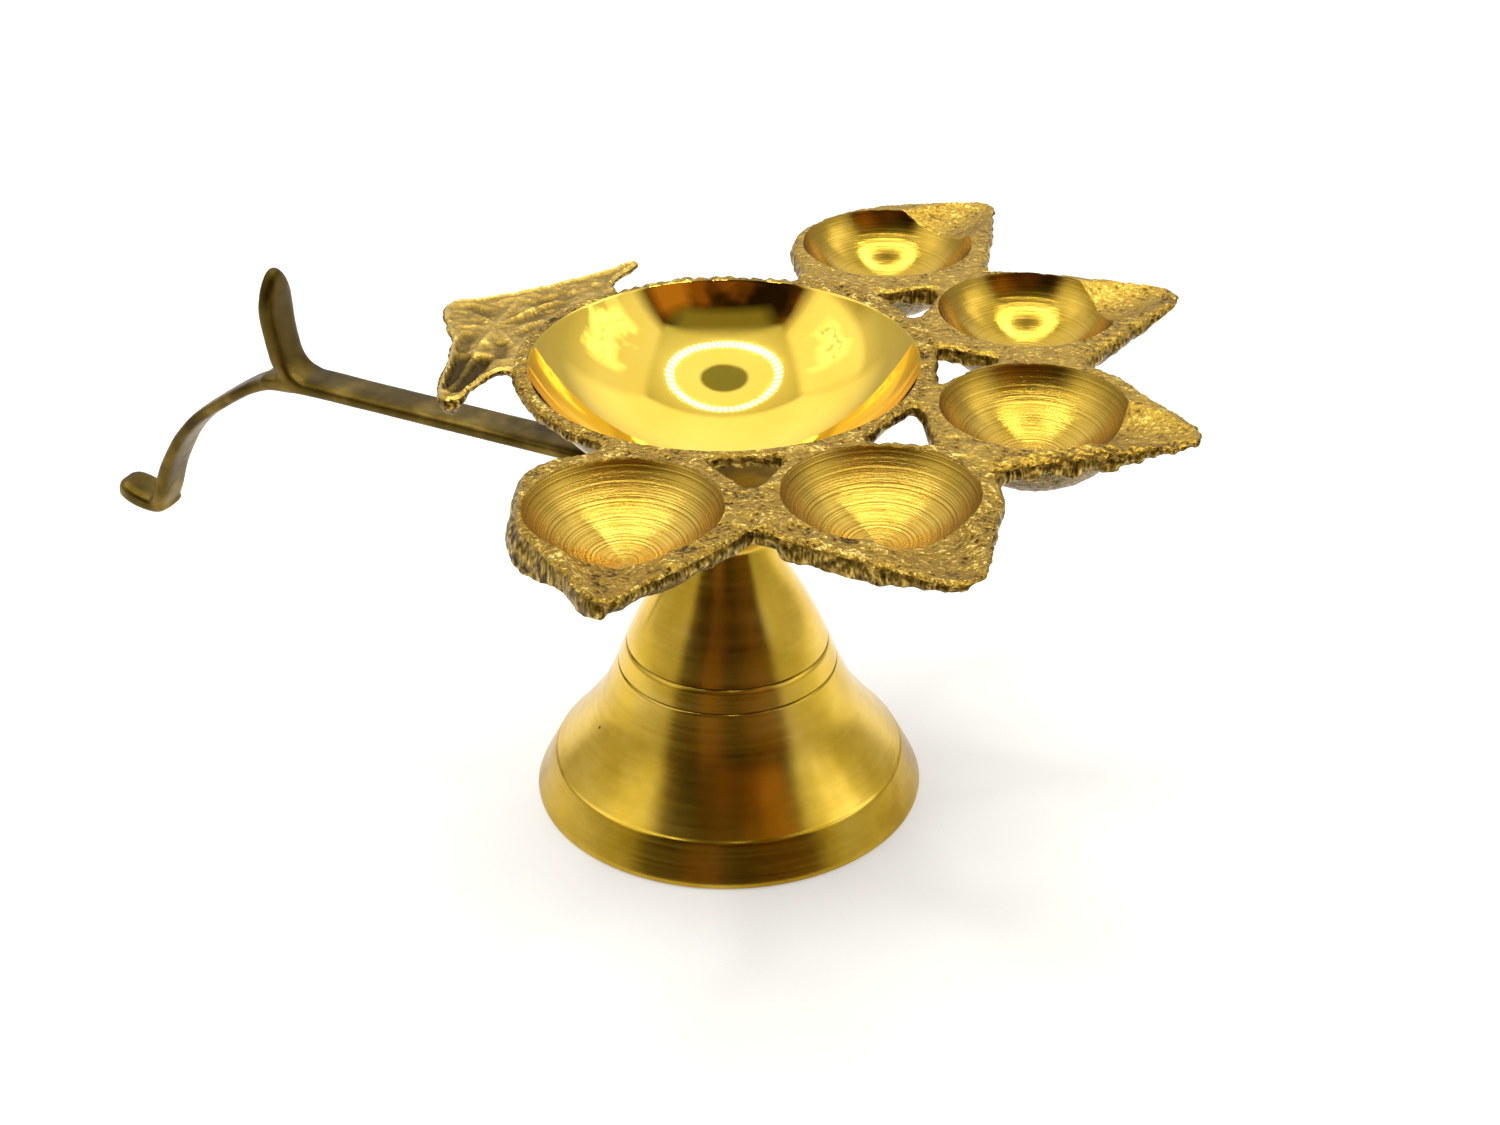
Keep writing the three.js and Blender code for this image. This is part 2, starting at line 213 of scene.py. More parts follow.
STUD = Sizes(radius=3, root=2.5, pitch=1)
WASHER = Sizes(radius=8, bore=3.3)

# ---- Camera: its place from the foot of the pedestal's axis (m), its angles (degrees) and lens (mm) ----
CAMERA_OFFSET = Vector((0.150576, -0.329002, 0.2505))
CAMERA_HEADING = 24
CAMERA_TILT = 30.074
CAMERA_ROLL = -0.4
CAMERA_LENS = 62.94


# ---- Numbers that look random but repeat ----
def lattice(cells, seed):
    """A number from 0 to 1 for each integer cell, the same each run."""
    mixed = (cells[:, 0] * 73856093) ^ (cells[:, 1] * 19349663) ^ (cells[:, 2] * 83492791) ^ (seed * 7919)
    mixed = (mixed ^ (mixed >> 13)) * 1274126177
    return ((mixed ^ (mixed >> 16)) & 0xFFFFFF) / 0xFFFFFF


def noise(points, size, seed=0):
    """Smooth noise from -1 to 1 at each point, with lumps about `size` mm across."""
    points = np.atleast_2d(np.asarray(points, float))
    if points.shape[1] < 3:
        points = np.pad(points, ((0, 0), (0, 3 - points.shape[1])))
    scaled = points / size
    cell = np.floor(scaled).astype(np.int64)
    part = scaled - cell
    part = part * part * (3 - 2 * part)
    total = np.zeros(len(points))
    for corner in itertools.product((0, 1), repeat=3):
        weight = np.prod(np.where(corner, part, 1 - part), axis=1)
        total += weight * lattice(cell + np.array(corner), seed)
    return 2 * total - 1


def layered(points, *layers):
    """Several noises added up, each given as (height, size, seed)."""
    return sum(height * noise(points, size, seed) for height, size, seed in layers)


def smoothstep(low, high, value):
    share = np.clip((value - low) / (high - low), 0, 1)
    return share * share * (3 - 2 * share)


def fade(distance, reach):
    """1 at no distance, falling in a straight line to 0 at `reach`."""
    return np.clip(1 - distance / reach, 0, 1)


def away_from(points, place):
    """How far each plan point is from a place."""
    return np.hypot(*(points - place).T)


def spokes(count):
    """Unit vectors to `count` points evenly round a circle, anticlockwise from +X."""
    angles = np.arange(count) * 2 * math.pi / count
    return np.c_[np.cos(angles), np.sin(angles)]


# ---- Plan curves ----
def resample(points, spacing, closed=True):
    """The same line with its points `spacing` apart."""
    line = np.asarray(points, float)
    if closed:
        line = np.vstack([line, line[:1]])
    run = np.r_[0, np.cumsum(np.hypot(*np.diff(line, axis=0).T))]
    count = max(2, round(run[-1] / spacing) + (0 if closed else 1))
    at = np.linspace(0, run[-1], count, endpoint=not closed)
    return np.c_[np.interp(at, run, line[:, 0]), np.interp(at, run, line[:, 1])]


def rounded(loop, times):
    """The loop with its corners worn down, by averaging neighbours."""
    for _ in range(times):
        loop = (np.roll(loop, 1, 0) + 2 * loop + np.roll(loop, -1, 0)) / 4
    return loop


def outward(loop):
    """Unit vectors that point away from the metal, for a loop with the metal on its left."""
    along = np.roll(loop, -1, 0) - np.roll(loop, 1, 0)
    across = np.c_[along[:, 1], -along[:, 0]]
    return across / np.hypot(*across.T)[:, None]


def rim_arc(start, end):
    """Points along the bowl's rim between two plan points, leaving out its ends."""
    first, last = (math.atan2(y, x) for x, y in (start, end))
    last += 2 * math.pi if last < first else 0
    angles = np.linspace(first, last, 24)[1:-1]
    return [(BOWL.rim * math.cos(a), BOWL.rim * math.sin(a)) for a in angles]


def ragged(loop):
    """The loop resampled, with soft corners and a hand-filed wander."""
    loop = rounded(resample(loop, GRID), 3)
    wander = layered(loop, (0.22, 2.6, 1), (0.14, 1.1, 2)) * np.where(is_guard(loop), 0.35, 1)
    return loop + outward(loop) * wander[:, None]


def plate_loops():
    """The plate's outer edge, anticlockwise, and the four gaps, clockwise."""
    edge = [
        *rim_arc(GUARD_EDGE[-1], LEAF_1_EDGE[0]), *LEAF_1_EDGE, *LEAF_2_EDGE, *LEAF_3_EDGE,
        *LEAF_4_EDGE, *LEAF_5_EDGE, *rim_arc(LEAF_5_EDGE[-1], GUARD_EDGE[0]), *GUARD_EDGE,
    ]
    gaps = [ragged(gap[::-1] if turns_left(gap) else gap) for gap in (GAP_12, GAP_23, GAP_34, GAP_45)]
    return [ragged(edge), *gaps]


def turns_left(loop):
    x, y = np.asarray(loop, float).T
    return np.sum(x * np.roll(y, -1) - y * np.roll(x, -1)) > 0


def is_inside(points, loop):
    """True for each point inside the loop."""
    found = np.zeros(len(points), bool)
    x, y = points.T
    for (x1, y1), (x2, y2) in zip(loop, np.roll(loop, -1, 0)):
        if y1 == y2:
            continue
        spans = (y1 > y) != (y2 > y)
        found ^= spans & (x < (x2 - x1) * (y - y1) / (y2 - y1) + x1)
    return found


# ---- Heights over the plan, measured from the plate's top (mm) ----
def cap(distance, rim, depth):
    """The height of a spherical hollow of that rim and depth, at a distance from its centre."""
    sphere = (rim * rim + depth * depth) / (2 * depth)
    return sphere - depth - np.sqrt(np.maximum(sphere**2 - distance**2, 0))


def leaf_axes(points):
    """For each leaf, how far each point lies along its axis from the cup, and to the side."""
    for cup, tip in zip(np.array(CUPS), np.array(TIPS)):
        along = (tip - cup) / np.hypot(*(tip - cup))
        offset = points - cup
        yield offset @ along, offset @ np.array([-along[1], along[0]]), np.hypot(*(tip - cup))


def is_guard(points):
    return (points[:, 0] < -20) & (np.hypot(*points.T) > BOWL.rim - 1)


# The guard's chased leaf: veins as (from, to, height), and hollows as (from, to, width, depth).
VEIN_WIDTH = 0.42
VEIN_ROOT = (-38.5, -2)
VEINS = [
    (VEIN_ROOT, (-48, 3.2), 0.4), (VEIN_ROOT, (-40, 8.6), 0.35), (VEIN_ROOT, (-33, 15.5), 0.45),
    (VEIN_ROOT, (-29.6, 23), 0.35), (VEIN_ROOT, (-31.5, 3), 0.35), (VEIN_ROOT, (-31.5, -8), 0.35),
    (VEIN_ROOT, (-43.6, -4.4), 0.35), (VEIN_ROOT, (-34.2, -25.6), 0.55),
    ((-34, 6), (-30, 12.5), 0.3), ((-43, 5), (-39, 11), 0.25), ((-36, -12), (-31.6, -20), 0.35),
]
HOLLOWS = [
    ((-37.6, -14), (-35.2, -23.6), 1.5, 0.9), ((-34.4, -13.5), (-33, -23.6), 1.3, 1.1),
    ((-42, 1.5), (-45.5, 2.6), 1.2, 0.4), ((-35.6, 1), (-33, 9), 1.4, 0.4),
    ((-36.6, 8), (-33.6, 13), 1.2, 0.4), ((-40.6, -6.4), (-39.4, -11.4), 1.2, 0.5),
    ((-33.4, -3), (-32.2, 0.4), 1, 0.4), ((-34.6, -7.4), (-32.6, -11.4), 1, 0.5),
]


def distance_to_line(points, start, end):
    start, end = np.array(start), np.array(end)
    run = end - start
    share = np.clip(((points - start) @ run) / (run @ run), 0, 1)
    return np.hypot(*(points - start - share[:, None] * run).T)


def guard_relief(points, edge_distance):
    """The chased leaf on the guard: a smooth raised border, veins, hollows and a stippled ground."""
    ground = -0.28 + layered(points, (0.16, 0.8, 11), (0.14, 1.9, 12))
    veins, hollows = np.zeros(len(points)), np.zeros(len(points))
    for start, end, height in VEINS:
        ridge = np.exp(-((distance_to_line(points, start, end) / VEIN_WIDTH) ** 2))
        veins = np.maximum(veins, 0.7 * height * ridge)
    for start, end, width, depth in HOLLOWS:
        fall = np.exp(-((distance_to_line(points, start, end) / width) ** 4))
        hollows = np.maximum(hollows, depth * fall)
    border = 1 - smoothstep(0.5, 1.1, edge_distance)
    return (1 - border) * (ground + veins - hollows) + border * 0.05


def as_cast(points, seed):
    """The lumps, sharp pits and wide hollows of a sand casting."""
    lumps = layered(points, (0.13, 1.9, seed), (0.1, 0.85, seed + 1))
    pits = np.maximum(noise(points, 1.2, seed + 2) - 0.35, 0)
    hollows = np.maximum(noise(points, 3.4, seed + 3) - 0.3, 0)
    return lumps - 0.5 * pits - 0.3 * hollows


def valleys(points):
    """The shallow spout from each cup to its leaf's tip."""
    height = np.zeros(len(points))
    for along, aside, reach in leaf_axes(points):
        depth = SPOUT.depth * (reach - along) / (reach - CUP.radius)
        channel = -depth + aside**2 / (2 * SPOUT.radius)
        height = np.where(along > 0, np.minimum(height, channel), height)
    return height


def filed_ridges(points, run, edge_distance):
    """The coarse file strokes across the edges of the third and fourth leaves and the far rim."""
    x, y = points.T
    leaf_3 = (x > 49) & (y < 3) & (y > -19)
    leaf_4 = (x > 49.5) & (y > 22) & (y < 50)
    far_rim = (np.hypot(x, y) < 34) & (x < -1) & (y > 12)
    strength = np.select([leaf_3, leaf_4, far_rim], [0.55, 0.28, 0.5], 0)
    reach = np.select([leaf_3, leaf_4], [5.5, 4], 1.6)
    stroke = 0.5 + 0.5 * np.sin(2 * math.pi * (run + 0.9 * edge_distance) / FILE_STROKE)
    return -strength * stroke * fade(edge_distance, reach)


def top_relief(points, run, edge_distance):
    """How far the rough skin of the casting stands above or below its smooth shape."""
    guard = is_guard(points)
    calm = smoothstep(-14, -6, points[:, 1]) * smoothstep(32, 35, np.hypot(*points.T))
    rough = as_cast(points, 20) * smoothstep(-0.2, 0.8, edge_distance) * (1 - 0.5 * calm)
    plain = rough + filed_ridges(points, run, edge_distance)
    join = smoothstep(BOWL.rim - 0.5, BOWL.rim + 1.5, np.hypot(*points.T)) * guard
    return plain * (1 - join) + guard_relief(points, edge_distance) * join


def top_height(points, run, edge_distance):
    """The top: the valleys and the guard's flat, under their rough skin, with worn edges."""
    smooth = np.where(is_guard(points), -GUARD.drop, np.minimum(valleys(points), 0))
    corner = fade(edge_distance, ROUNDED_EDGE)
    smooth -= ROUNDED_EDGE * (1 - np.sqrt(1 - corner**2)) * 0.8
    return smooth + top_relief(points, run, edge_distance)


def bottom_height(points, facing, edge_distance):
    """The underside: flat and rough, thinner at the rim and webs, with each cup's shell hanging below."""
    from_each = [away_from(points, cup) for cup in CUPS]
    from_cups = np.min(from_each, axis=0)
    from_axis = np.hypot(*points.T)
    leaf = smoothstep(20, 15, from_cups) * smoothstep(BOWL.rim, BOWL.rim + 3, from_axis)
    depth = WEB_THICKNESS + (LEAF_THICKNESS - WEB_THICKNESS) * np.maximum(leaf, from_axis > 55)
    depth = depth - UNDERCUT * smoothstep(0.4, 0.8, facing[:, 0]) * fade(edge_distance, 2) * (depth > 3)
    for number, (along, _, reach) in enumerate(leaf_axes(points)):
        own = np.argmin(from_each, axis=0) == number
        depth = depth - own * TIP_TAPER[number] * smoothstep(0.5, 1, along / reach)
    depth = depth + 0.35 * noise(points, 2.8, 45) * fade(edge_distance, 2.5)
    guard = is_guard(points) * smoothstep(BOWL.rim - 1, BOWL.rim + 1, from_axis)
    thin = GUARD.thickness + GUARD.drop - 0.9 * fade(edge_distance, 2)
    depth = depth + (thin - depth) * guard
    depth = depth + KEEL.depth * np.exp(-((away_from(points, KEEL.at) / KEEL.radius) ** 2)) * guard
    rim = smoothstep(BOWL.rim + 1.5, BOWL.rim - 0.5, from_axis)
    depth = depth + (BOWL.rim_thickness - depth) * rim
    shells = cap(from_cups, CUP.shell_radius, CUP.shell_depth)
    shells = np.where(from_cups < CUP.shell_radius, shells, 0) + 0.6 * as_cast(points, 50)
    corner = fade(edge_distance, ROUNDED_EDGE)
    return np.minimum(1.2 * as_cast(points, 40) - depth, shells) + ROUNDED_EDGE * 0.5 * corner**2


# ---- The casting's mesh ----
def search_tree(points):
    tree = KDTree(len(points))
    for i, (x, y) in enumerate(points):
        tree.insert((x, y, 0), i)
    tree.balance()
    return tree


def nearest(tree, points):
    """For each plan point, the number of the tree's nearest point and how far off it is."""
    found = [tree.find((x, y, 0)) for x, y in points]
    return np.array([f[1] for f in found]), np.array([f[2] for f in found])


def circle(centre, radius, segments):
    return np.array(centre) + spokes(segments) * np.reshape(radius, (-1, 1))


class Plate:
    """The whole casting as one set of points: a plan triangulation, its top, its underside and its edges."""

    def __init__(self):
        self.loops = plate_loops()
        # Every edge point, with the way it faces and how far along its loop it is.
        self.edge = np.vstack(self.loops)
        self.facing = np.vstack([outward(loop) for loop in self.loops])
        self.run = np.concatenate([np.arange(len(loop)) * GRID for loop in self.loops])
        self.tree = search_tree(self.edge)
        self.rims = [self.cup_rim(cup) for cup in CUPS]
        self.rims.append(circle((0, 0), BOWL.radius, BOWL_SEGMENTS))
        self.triangulate()
        self.label()
        self.lift()

    def cup_rim(self, cup):
        """Where the bored hollow comes out through the rough top: bisection on each spoke."""
        low = np.full(CUP_SEGMENTS, CUP.radius - 4.0)
        high = np.full(CUP_SEGMENTS, CUP.radius + 0.5)
        for _ in range(12):
            middle = (low + high) / 2
            points = circle(cup, middle, CUP_SEGMENTS)
            index, distance = nearest(self.tree, points)
            above = cap(middle, CUP.radius, CUP.depth) > top_height(points, self.run[index], distance)
            high = np.where(above, middle, high)
            low = np.where(above, low, middle)
        return circle(cup, (low + high) / 2, CUP_SEGMENTS)

    def fill(self):
        """Evenly spread points over the metal, clear of every edge and rim."""
        low, high = self.edge.min(0), self.edge.max(0)
        columns = np.arange(low[0], high[0], GRID)
        rows = np.arange(low[1], high[1], GRID * math.sqrt(3) / 2)
        x, y = np.meshgrid(columns, rows)
        x = x + np.where(np.arange(len(rows)) % 2, GRID / 2, 0)[:, None]
        points = np.c_[x.ravel(), y.ravel()]
        points = points[self.is_metal(points)]
        clear = nearest(self.tree, points)[1] > CLEARANCE
        for rim in self.rims:
            clear &= nearest(search_tree(rim), points)[1] > CLEARANCE
        return points[clear]

    def is_metal(self, points):
        found = is_inside(points, self.loops[0])
        for loop in [*self.loops[1:], *self.rims]:
            found &= ~is_inside(points, loop)
        return found

    def parting_lines(self):
        """Each parting as plan points between two edge points, bent round the bowl where it borders it."""
        for start, end in PARTINGS:
            first = self.tree.find((*start, 0))[1]
            last = self.tree.find((*end, 0))[1]
            a, b = self.edge[first], self.edge[last]
            radii = np.hypot(*a), np.hypot(*b)
            angles = np.unwrap([math.atan2(a[1], a[0]), math.atan2(b[1], b[0])])
            round_bowl = max(radii) < BOWL.rim + 2.5
            length = abs(angles[1] - angles[0]) * BOWL.rim if round_bowl else np.hypot(*(b - a))
            share = np.linspace(0, 1, max(4, round(length / GRID)) + 1)[1:-1]
            line = a + (b - a) * share[:, None]
            if round_bowl:
                radius = radii[0] + (radii[1] - radii[0]) * share
                angle = angles[0] + (angles[1] - angles[0]) * share
                line = np.c_[radius * np.cos(angle), radius * np.sin(angle)]
            yield first, line, last

    def triangulate(self):
        """The plan as triangles that keep to every edge, rim and parting line."""
        parts, rings, fixed, cuts, count = [], [], [], [], 0
        for ring in [*self.loops, *self.rims]:
            ids = count + np.arange(len(ring))
            rings.append(ids)
            fixed += list(zip(ids, np.roll(ids, -1)))
            parts.append(ring)
            count += len(ring)
        self.rim_ids = rings[len(self.loops):]
        for first, line, last in self.parting_lines():
            ids = [first, *(count + np.arange(len(line))), last]
            cuts += list(zip(ids[:-1], ids[1:]))
            parts.append(line)
            count += len(line)
        cut_points = np.vstack(parts[-len(PARTINGS):])
        filling = self.fill()
        gap = np.min([away_from(filling, place) for place in cut_points], axis=0)
        parts.append(filling[gap > CLEARANCE])
        self.plan = np.vstack(parts)
        fixed = [(int(a), int(b)) for a, b in fixed + cuts]
        made = delaunay_2d_cdt([Vector(p) for p in self.plan], fixed, [], 0, 1e-7, True)
        order = np.array([ids[0] for ids in made[3]])
        corners = order[np.array(made[2])]
        self.triangles = corners[self.is_metal(self.plan[corners].mean(1))]
        self.cuts = {frozenset(edge) for edge in cuts}

    def label(self):
        """Numbers the parted pieces: 0 to 4 for the leaves, 5 for the bowl, 6 for the guard."""
        parent = list(range(len(self.triangles)))

        def root(i):
            while parent[i] != i:
                parent[i] = parent[parent[i]]
                i = parent[i]
            return i

        first_owner = {}
        for t, (a, b, c) in enumerate(self.triangles):
            for edge in (frozenset((a, b)), frozenset((b, c)), frozenset((c, a))):
                if edge in self.cuts:
                    continue
                if edge in first_owner:
                    parent[root(t)] = root(first_owner[edge])
                else:
                    first_owner[edge] = t
        roots = np.array([root(t) for t in range(len(self.triangles))])
        self.labels = np.full(len(roots), 6)
        for number, ids in enumerate(self.rim_ids):
            touching = np.isin(self.triangles, ids).any(1)
            self.labels[np.isin(roots, roots[touching])] = number

    def lift(self):
        """Heights of the top and underside at every plan point."""
        index, distance = nearest(self.tree, self.plan)
        distance[: len(self.edge)] = 0
        facing = self.facing[index]
        first_leaf = smoothstep(-38, -46, self.plan[:, 1]) * smoothstep(6, -2, self.plan[:, 0])
        lean = LEAN * first_leaf * fade(distance, 3)
        self.under = self.plan + facing * lean[:, None]
        self.top = PLATE_TOP + top_height(self.plan, self.run[index], distance)
        self.bottom = PLATE_TOP + bottom_height(self.plan, facing, distance)
        self.bottom -= DEEPER * first_leaf * fade(distance, 4)
        for cup, ids in zip(CUPS, self.rim_ids):
            self.top[ids] = PLATE_TOP + cap(away_from(self.plan[ids], cup), CUP.radius, CUP.depth)
        self.top[self.rim_ids[5]] = PLATE_TOP - 0.05
        self.relief = top_relief(self.plan, self.run[index], distance)

    def column(self, ids):
        """Wall points under each plan point, from just below the top to just above the underside."""
        share = np.arange(1, WALL_ROWS) / WALL_ROWS
        top, bottom = self.top[ids][:, None], self.bottom[ids][:, None]
        z = top + (bottom - top) * share
        flat = self.plan[ids][:, None] * (1 - share)[:, None] + self.under[ids][:, None] * share[:, None]
        edge_ids = np.minimum(ids, len(self.edge) - 1)
        facing = np.where((ids < len(self.edge))[:, None], self.facing[edge_ids], 0)
        points = np.dstack([flat, z]).reshape(-1, 3)
        strokes = np.c_[(self.run[edge_ids][:, None] + 0.35 * (z - PLATE_TOP)).ravel(), np.zeros(z.size)]
        scraped = 0.1 * noise(strokes, 1.1, 60) * smoothstep(-0.3, 0.5, noise(points, 9, 63))
        relief = scraped + 0.22 * noise(points, 1.7, 61) + 0.12 * noise(points, 0.8, 62)
        arch = np.sin(math.pi * share)
        bulge = (0.28 * arch + relief.reshape(z.shape)) * arch**0.5
        return np.dstack([flat + facing[:, None] * bulge[:, :, None], z])


class Shell:
    """Points, faces, face materials and point attributes of one piece while it is put together."""

    def __init__(self):
        self.points, self.faces, self.kinds, self.count = [], [], [], 0
        self.values = {"relief": [], "ring": []}

    def add(self, points, relief=0, ring=0):
        points = np.asarray(points, float).reshape(-1, 3)
        start = self.count
        self.points.append(points)
        self.values["relief"].append(np.broadcast_to(relief, len(points)))
        self.values["ring"].append(np.broadcast_to(ring, len(points)))
        self.count += len(points)
        return np.arange(start, self.count)

    def face(self, corners, kind=0):
        corners = np.asarray(corners)
        self.faces += corners.tolist()
        self.kinds += [kind] * len(corners)

    def strip(self, rows, kind=0):
        """Quads between rows of points round closed rings, facing to the left of the way they run."""
        for low, high in zip(rows[:-1], rows[1:]):
            self.face(np.c_[low, np.roll(low, -1), np.roll(high, -1), high], kind)

    def fan(self, ring, centre, kind=0, relief=0):
        """Triangles from a ring of points to one in the middle."""
        middle = self.add([centre], relief)
        self.face(np.c_[ring, np.roll(ring, -1), np.repeat(middle, len(ring))], kind)

    def dish(self, rows, centre, kind, relief=0):
        """Strips between the rows, closed by a fan inside the last."""
        self.strip(rows, kind)
        self.fan(rows[-1], centre, kind, relief)


# The kinds of face on the casting, in the order of each piece's materials.
CAST, UNDERSIDE, WALL, HOLLOW, OUTSIDE = range(5)


def plate_piece(plate, number, skins):
    """One parted piece of the plate. skins adds what lies inside its rim, above and below."""
    shell = Shell()
    triangles = plate.triangles[plate.labels == number]
    used, local = np.unique(triangles, return_inverse=True)
    local = local.reshape(-1, 3)
    flat = plate.plan[used]
    top = shell.add(np.c_[flat, plate.top[used]], plate.relief[used])
    # The underside takes a low relief, which its shader turns into painted shade.
    bottom = shell.add(np.c_[plate.under[used], plate.bottom[used]], -0.2)
    shell.face(top[local], CAST)
    shell.face(bottom[local][:, ::-1], UNDERSIDE)

    directed = np.vstack([local[:, [0, 1]], local[:, [1, 2]], local[:, [2, 0]]])
    codes = directed[:, 0] * len(used) + directed[:, 1]
    back = directed[:, 1] * len(used) + directed[:, 0]
    border = directed[~np.isin(codes, back)]
    rim = plate.rim_ids[number] if number < 6 else np.array([], int)
    border = border[~np.isin(used[border], rim).all(1)]
    ids = np.unique(border)
    wall = shell.add(plate.column(used[ids]), -0.1).reshape(len(ids), -1)
    columns = np.c_[top[ids], wall, bottom[ids]]
    place = {v: i for i, v in enumerate(ids)}
    a = columns[[place[v] for v in border[:, 0]]]
    b = columns[[place[v] for v in border[:, 1]]]
    for row in range(WALL_ROWS):
        shell.face(np.c_[a[:, row], a[:, row + 1], b[:, row + 1], b[:, row]], WALL)
    if len(rim):
        at = np.searchsorted(used, rim)
        skins(shell, top[at], bottom[at], plate.plan[rim])
    return shell


def cup_skins(cup, groove_depth):
    """What lies inside a cup's rim: the bored hollow with its feed rings, and the shell below."""

    def skins(shell, top_ring, bottom_ring, rim):
        sphere = (CUP.radius**2 + CUP.depth**2) / (2 * CUP.depth)
        offset = rim - cup
        reach = np.hypot(*offset.T)
        direction = offset / reach[:, None]
        lean = np.arcsin(np.minimum(reach / sphere, 1))
        rows = [top_ring]
        for ring in range(1, CUP_RINGS):
            angle = lean * (1 - ring / CUP_RINGS)
            arc = sphere * angle
            from_rim = sphere * (lean - angle)
            flat = cup + direction * (sphere * np.sin(angle))[:, None]
            wobble = 0.12 * noise(direction * 3, 1, 70)
            sharp = 0.5 + 0.5 * noise(np.c_[arc, arc * 0], 2.2, 71)
            groove = np.abs(np.sin(math.pi * (arc + wobble) / GROOVE.pitch)) - 0.6
            step = 0.6 * groove_depth * noise(np.c_[arc, direction * 1.5], 1.3, 72)
            raised = (groove_depth * sharp * groove + step) * smoothstep(0, 0.5, from_rim)
            z = PLATE_TOP - CUP.depth + sphere - (sphere - raised) * np.cos(angle)
            flat = flat - direction * (raised * np.sin(angle))[:, None]
            rows.append(shell.add(np.c_[flat, z], 0, arc))
        shell.dish(rows, (*cup, PLATE_TOP - CUP.depth), HOLLOW)

        # The shell below takes a low relief, which its shader turns into painted shade.
        below = [bottom_ring]
        for share in np.linspace(0.98, 0.04, SHELL_RINGS):
            flat = cup + offset * share
            still = np.full(len(flat), 9.0)
            z = PLATE_TOP + bottom_height(flat, np.zeros((len(flat), 2)), still)
            below.append(shell.add(np.c_[flat, z], -0.1))
        shell.dish([row[::-1] for row in below], (*cup, PLATE_TOP - CUP.shell_depth), UNDERSIDE, -0.1)

    return skins


def bowl_skins(shell, top_ring, bottom_ring, rim):
    """What lies inside the bowl's rim: the polished hollow, and the turned outside with its boss."""
    direction = rim / BOWL.radius
    rows = [top_ring]
    hollow = np.r_[29.9, 29.75, BOWL.radius * np.sin(np.linspace(1.43, 0.02, 72))]
    for radius in hollow:
        z = PLATE_TOP + cap(radius, BOWL.radius, BOWL.depth)
        rows.append(shell.add(np.c_[direction * radius, np.full(len(rim), z)], 0, radius))
    shell.dish(rows, (0, 0, PLATE_TOP - BOWL.depth), HOLLOW)

    seat = PLATE_TOP - BOWL_SHELL.depth
    boss = seat - BOWL_SHELL.boss_length
    profile = []
    for radius in np.linspace(29.6, BOWL_SHELL.seat + 0.2, 38):
        profile.append((radius, PLATE_TOP + cap(radius, BOWL_SHELL.radius, BOWL_SHELL.depth)))
    profile += [
        (BOWL_SHELL.seat, seat + 0.8), (BOWL_SHELL.seat - 0.1, seat + 0.2),
        (BOWL_SHELL.seat - 0.5, seat), (BOWL_SHELL.boss + 0.1, seat),
        (BOWL_SHELL.boss, seat - 0.2), (BOWL_SHELL.boss, boss + 0.3),
        (BOWL_SHELL.boss - 0.3, boss), (BOWL_SHELL.bore + 0.2, boss),
        (BOWL_SHELL.bore, boss + 0.2), (BOWL_SHELL.bore, seat), (0.6, seat),
    ]
    below = [bottom_ring]
    for radius, z in profile:
        level = np.full(len(rim), z)
        waver = 0.05 * noise(np.c_[rim, level], 3, 80) * (radius > BOWL_SHELL.seat)
        below.append(shell.add(np.c_[direction * (radius + waver)[:, None], level], -0.05, radius))
    shell.dish([row[::-1] for row in below], (0, 0, seat), OUTSIDE)


# ---- Turnings and straps ----
def spread(line, spacing):
    """A smooth curve through the points, with points about `spacing` apart, as arrays of the same width."""
    line = np.asarray(line, float)
    ends = np.vstack([2 * line[0] - line[1], line, 2 * line[-1] - line[-2]])
    out = []
    for p0, p1, p2, p3 in zip(ends[:-3], ends[1:-2], ends[2:-1], ends[3:]):
        count = max(2, round(np.hypot(*(p2 - p1)[:2]) / spacing))
        for t in np.arange(count) / count:
            out.append(
                0.5 * (2 * p1 + (p2 - p0) * t + (2 * p0 - 5 * p1 + 4 * p2 - p3) * t**2
                       + (3 * p1 - p0 - 3 * p2 + p3) * t**3)
            )
    return np.array([*out, line[-1]])


def turning(profile, segments):
    """A closed turning about Z from (radius, height) points, anticlockwise with the radius to the right."""
    shell = Shell()
    rows = [shell.add(np.c_[radius * spokes(segments), np.full(segments, z)], 0, z) for radius, z in profile]
    shell.strip([*rows, rows[0]])
    return shell


def strap(line, sides=28, soft=0.55):
    """A bar of rounded section along a side view, given as (x, z, width, thickness)."""
    shell = Shell()
    line = spread(line, 0.6)
    tangent = np.gradient(line[:, :2], axis=0)
    tangent /= np.hypot(*tangent.T)[:, None]
    across, upward = (np.sign(spokes(sides)) * np.abs(spokes(sides)) ** soft).T
    rows = []
    for (x, z, width, thickness), (tx, tz) in zip(line, tangent):
        lift = upward * thickness / 2
        rows.append(shell.add(np.c_[x - tz * lift, across * width / 2, z + tx * lift]))
    shell.strip(rows)
    for row, (x, z, *_) in ((rows[0][::-1], line[0]), (rows[-1], line[-1])):
        shell.fan(row, (x, 0, z))
    return shell


# ---- From shells to Blender objects ----
def mesh_of(name, shell, materials):
    mesh = bpy.data.meshes.new(name)
    placed = np.vstack(shell.points) * MM + np.array(FOOT)
    mesh.from_pydata(placed.tolist(), [], shell.faces)
    for material in materials:
        mesh.materials.append(material)
    mesh.polygons.foreach_set("material_index", np.array(shell.kinds, np.int32))
    for key, values in shell.values.items():
        layer = mesh.attributes.new(key, "FLOAT", "POINT")
        layer.data.foreach_set("value", np.concatenate(values).astype(np.float32))
    mesh.shade_smooth()
    mesh.set_sharp_from_angle(angle=math.radians(42))
    mesh.update()
    return mesh


def in_scene(name, data):
    made = bpy.data.objects.new(name, data)
    bpy.context.scene.collection.objects.link(made)
    return made


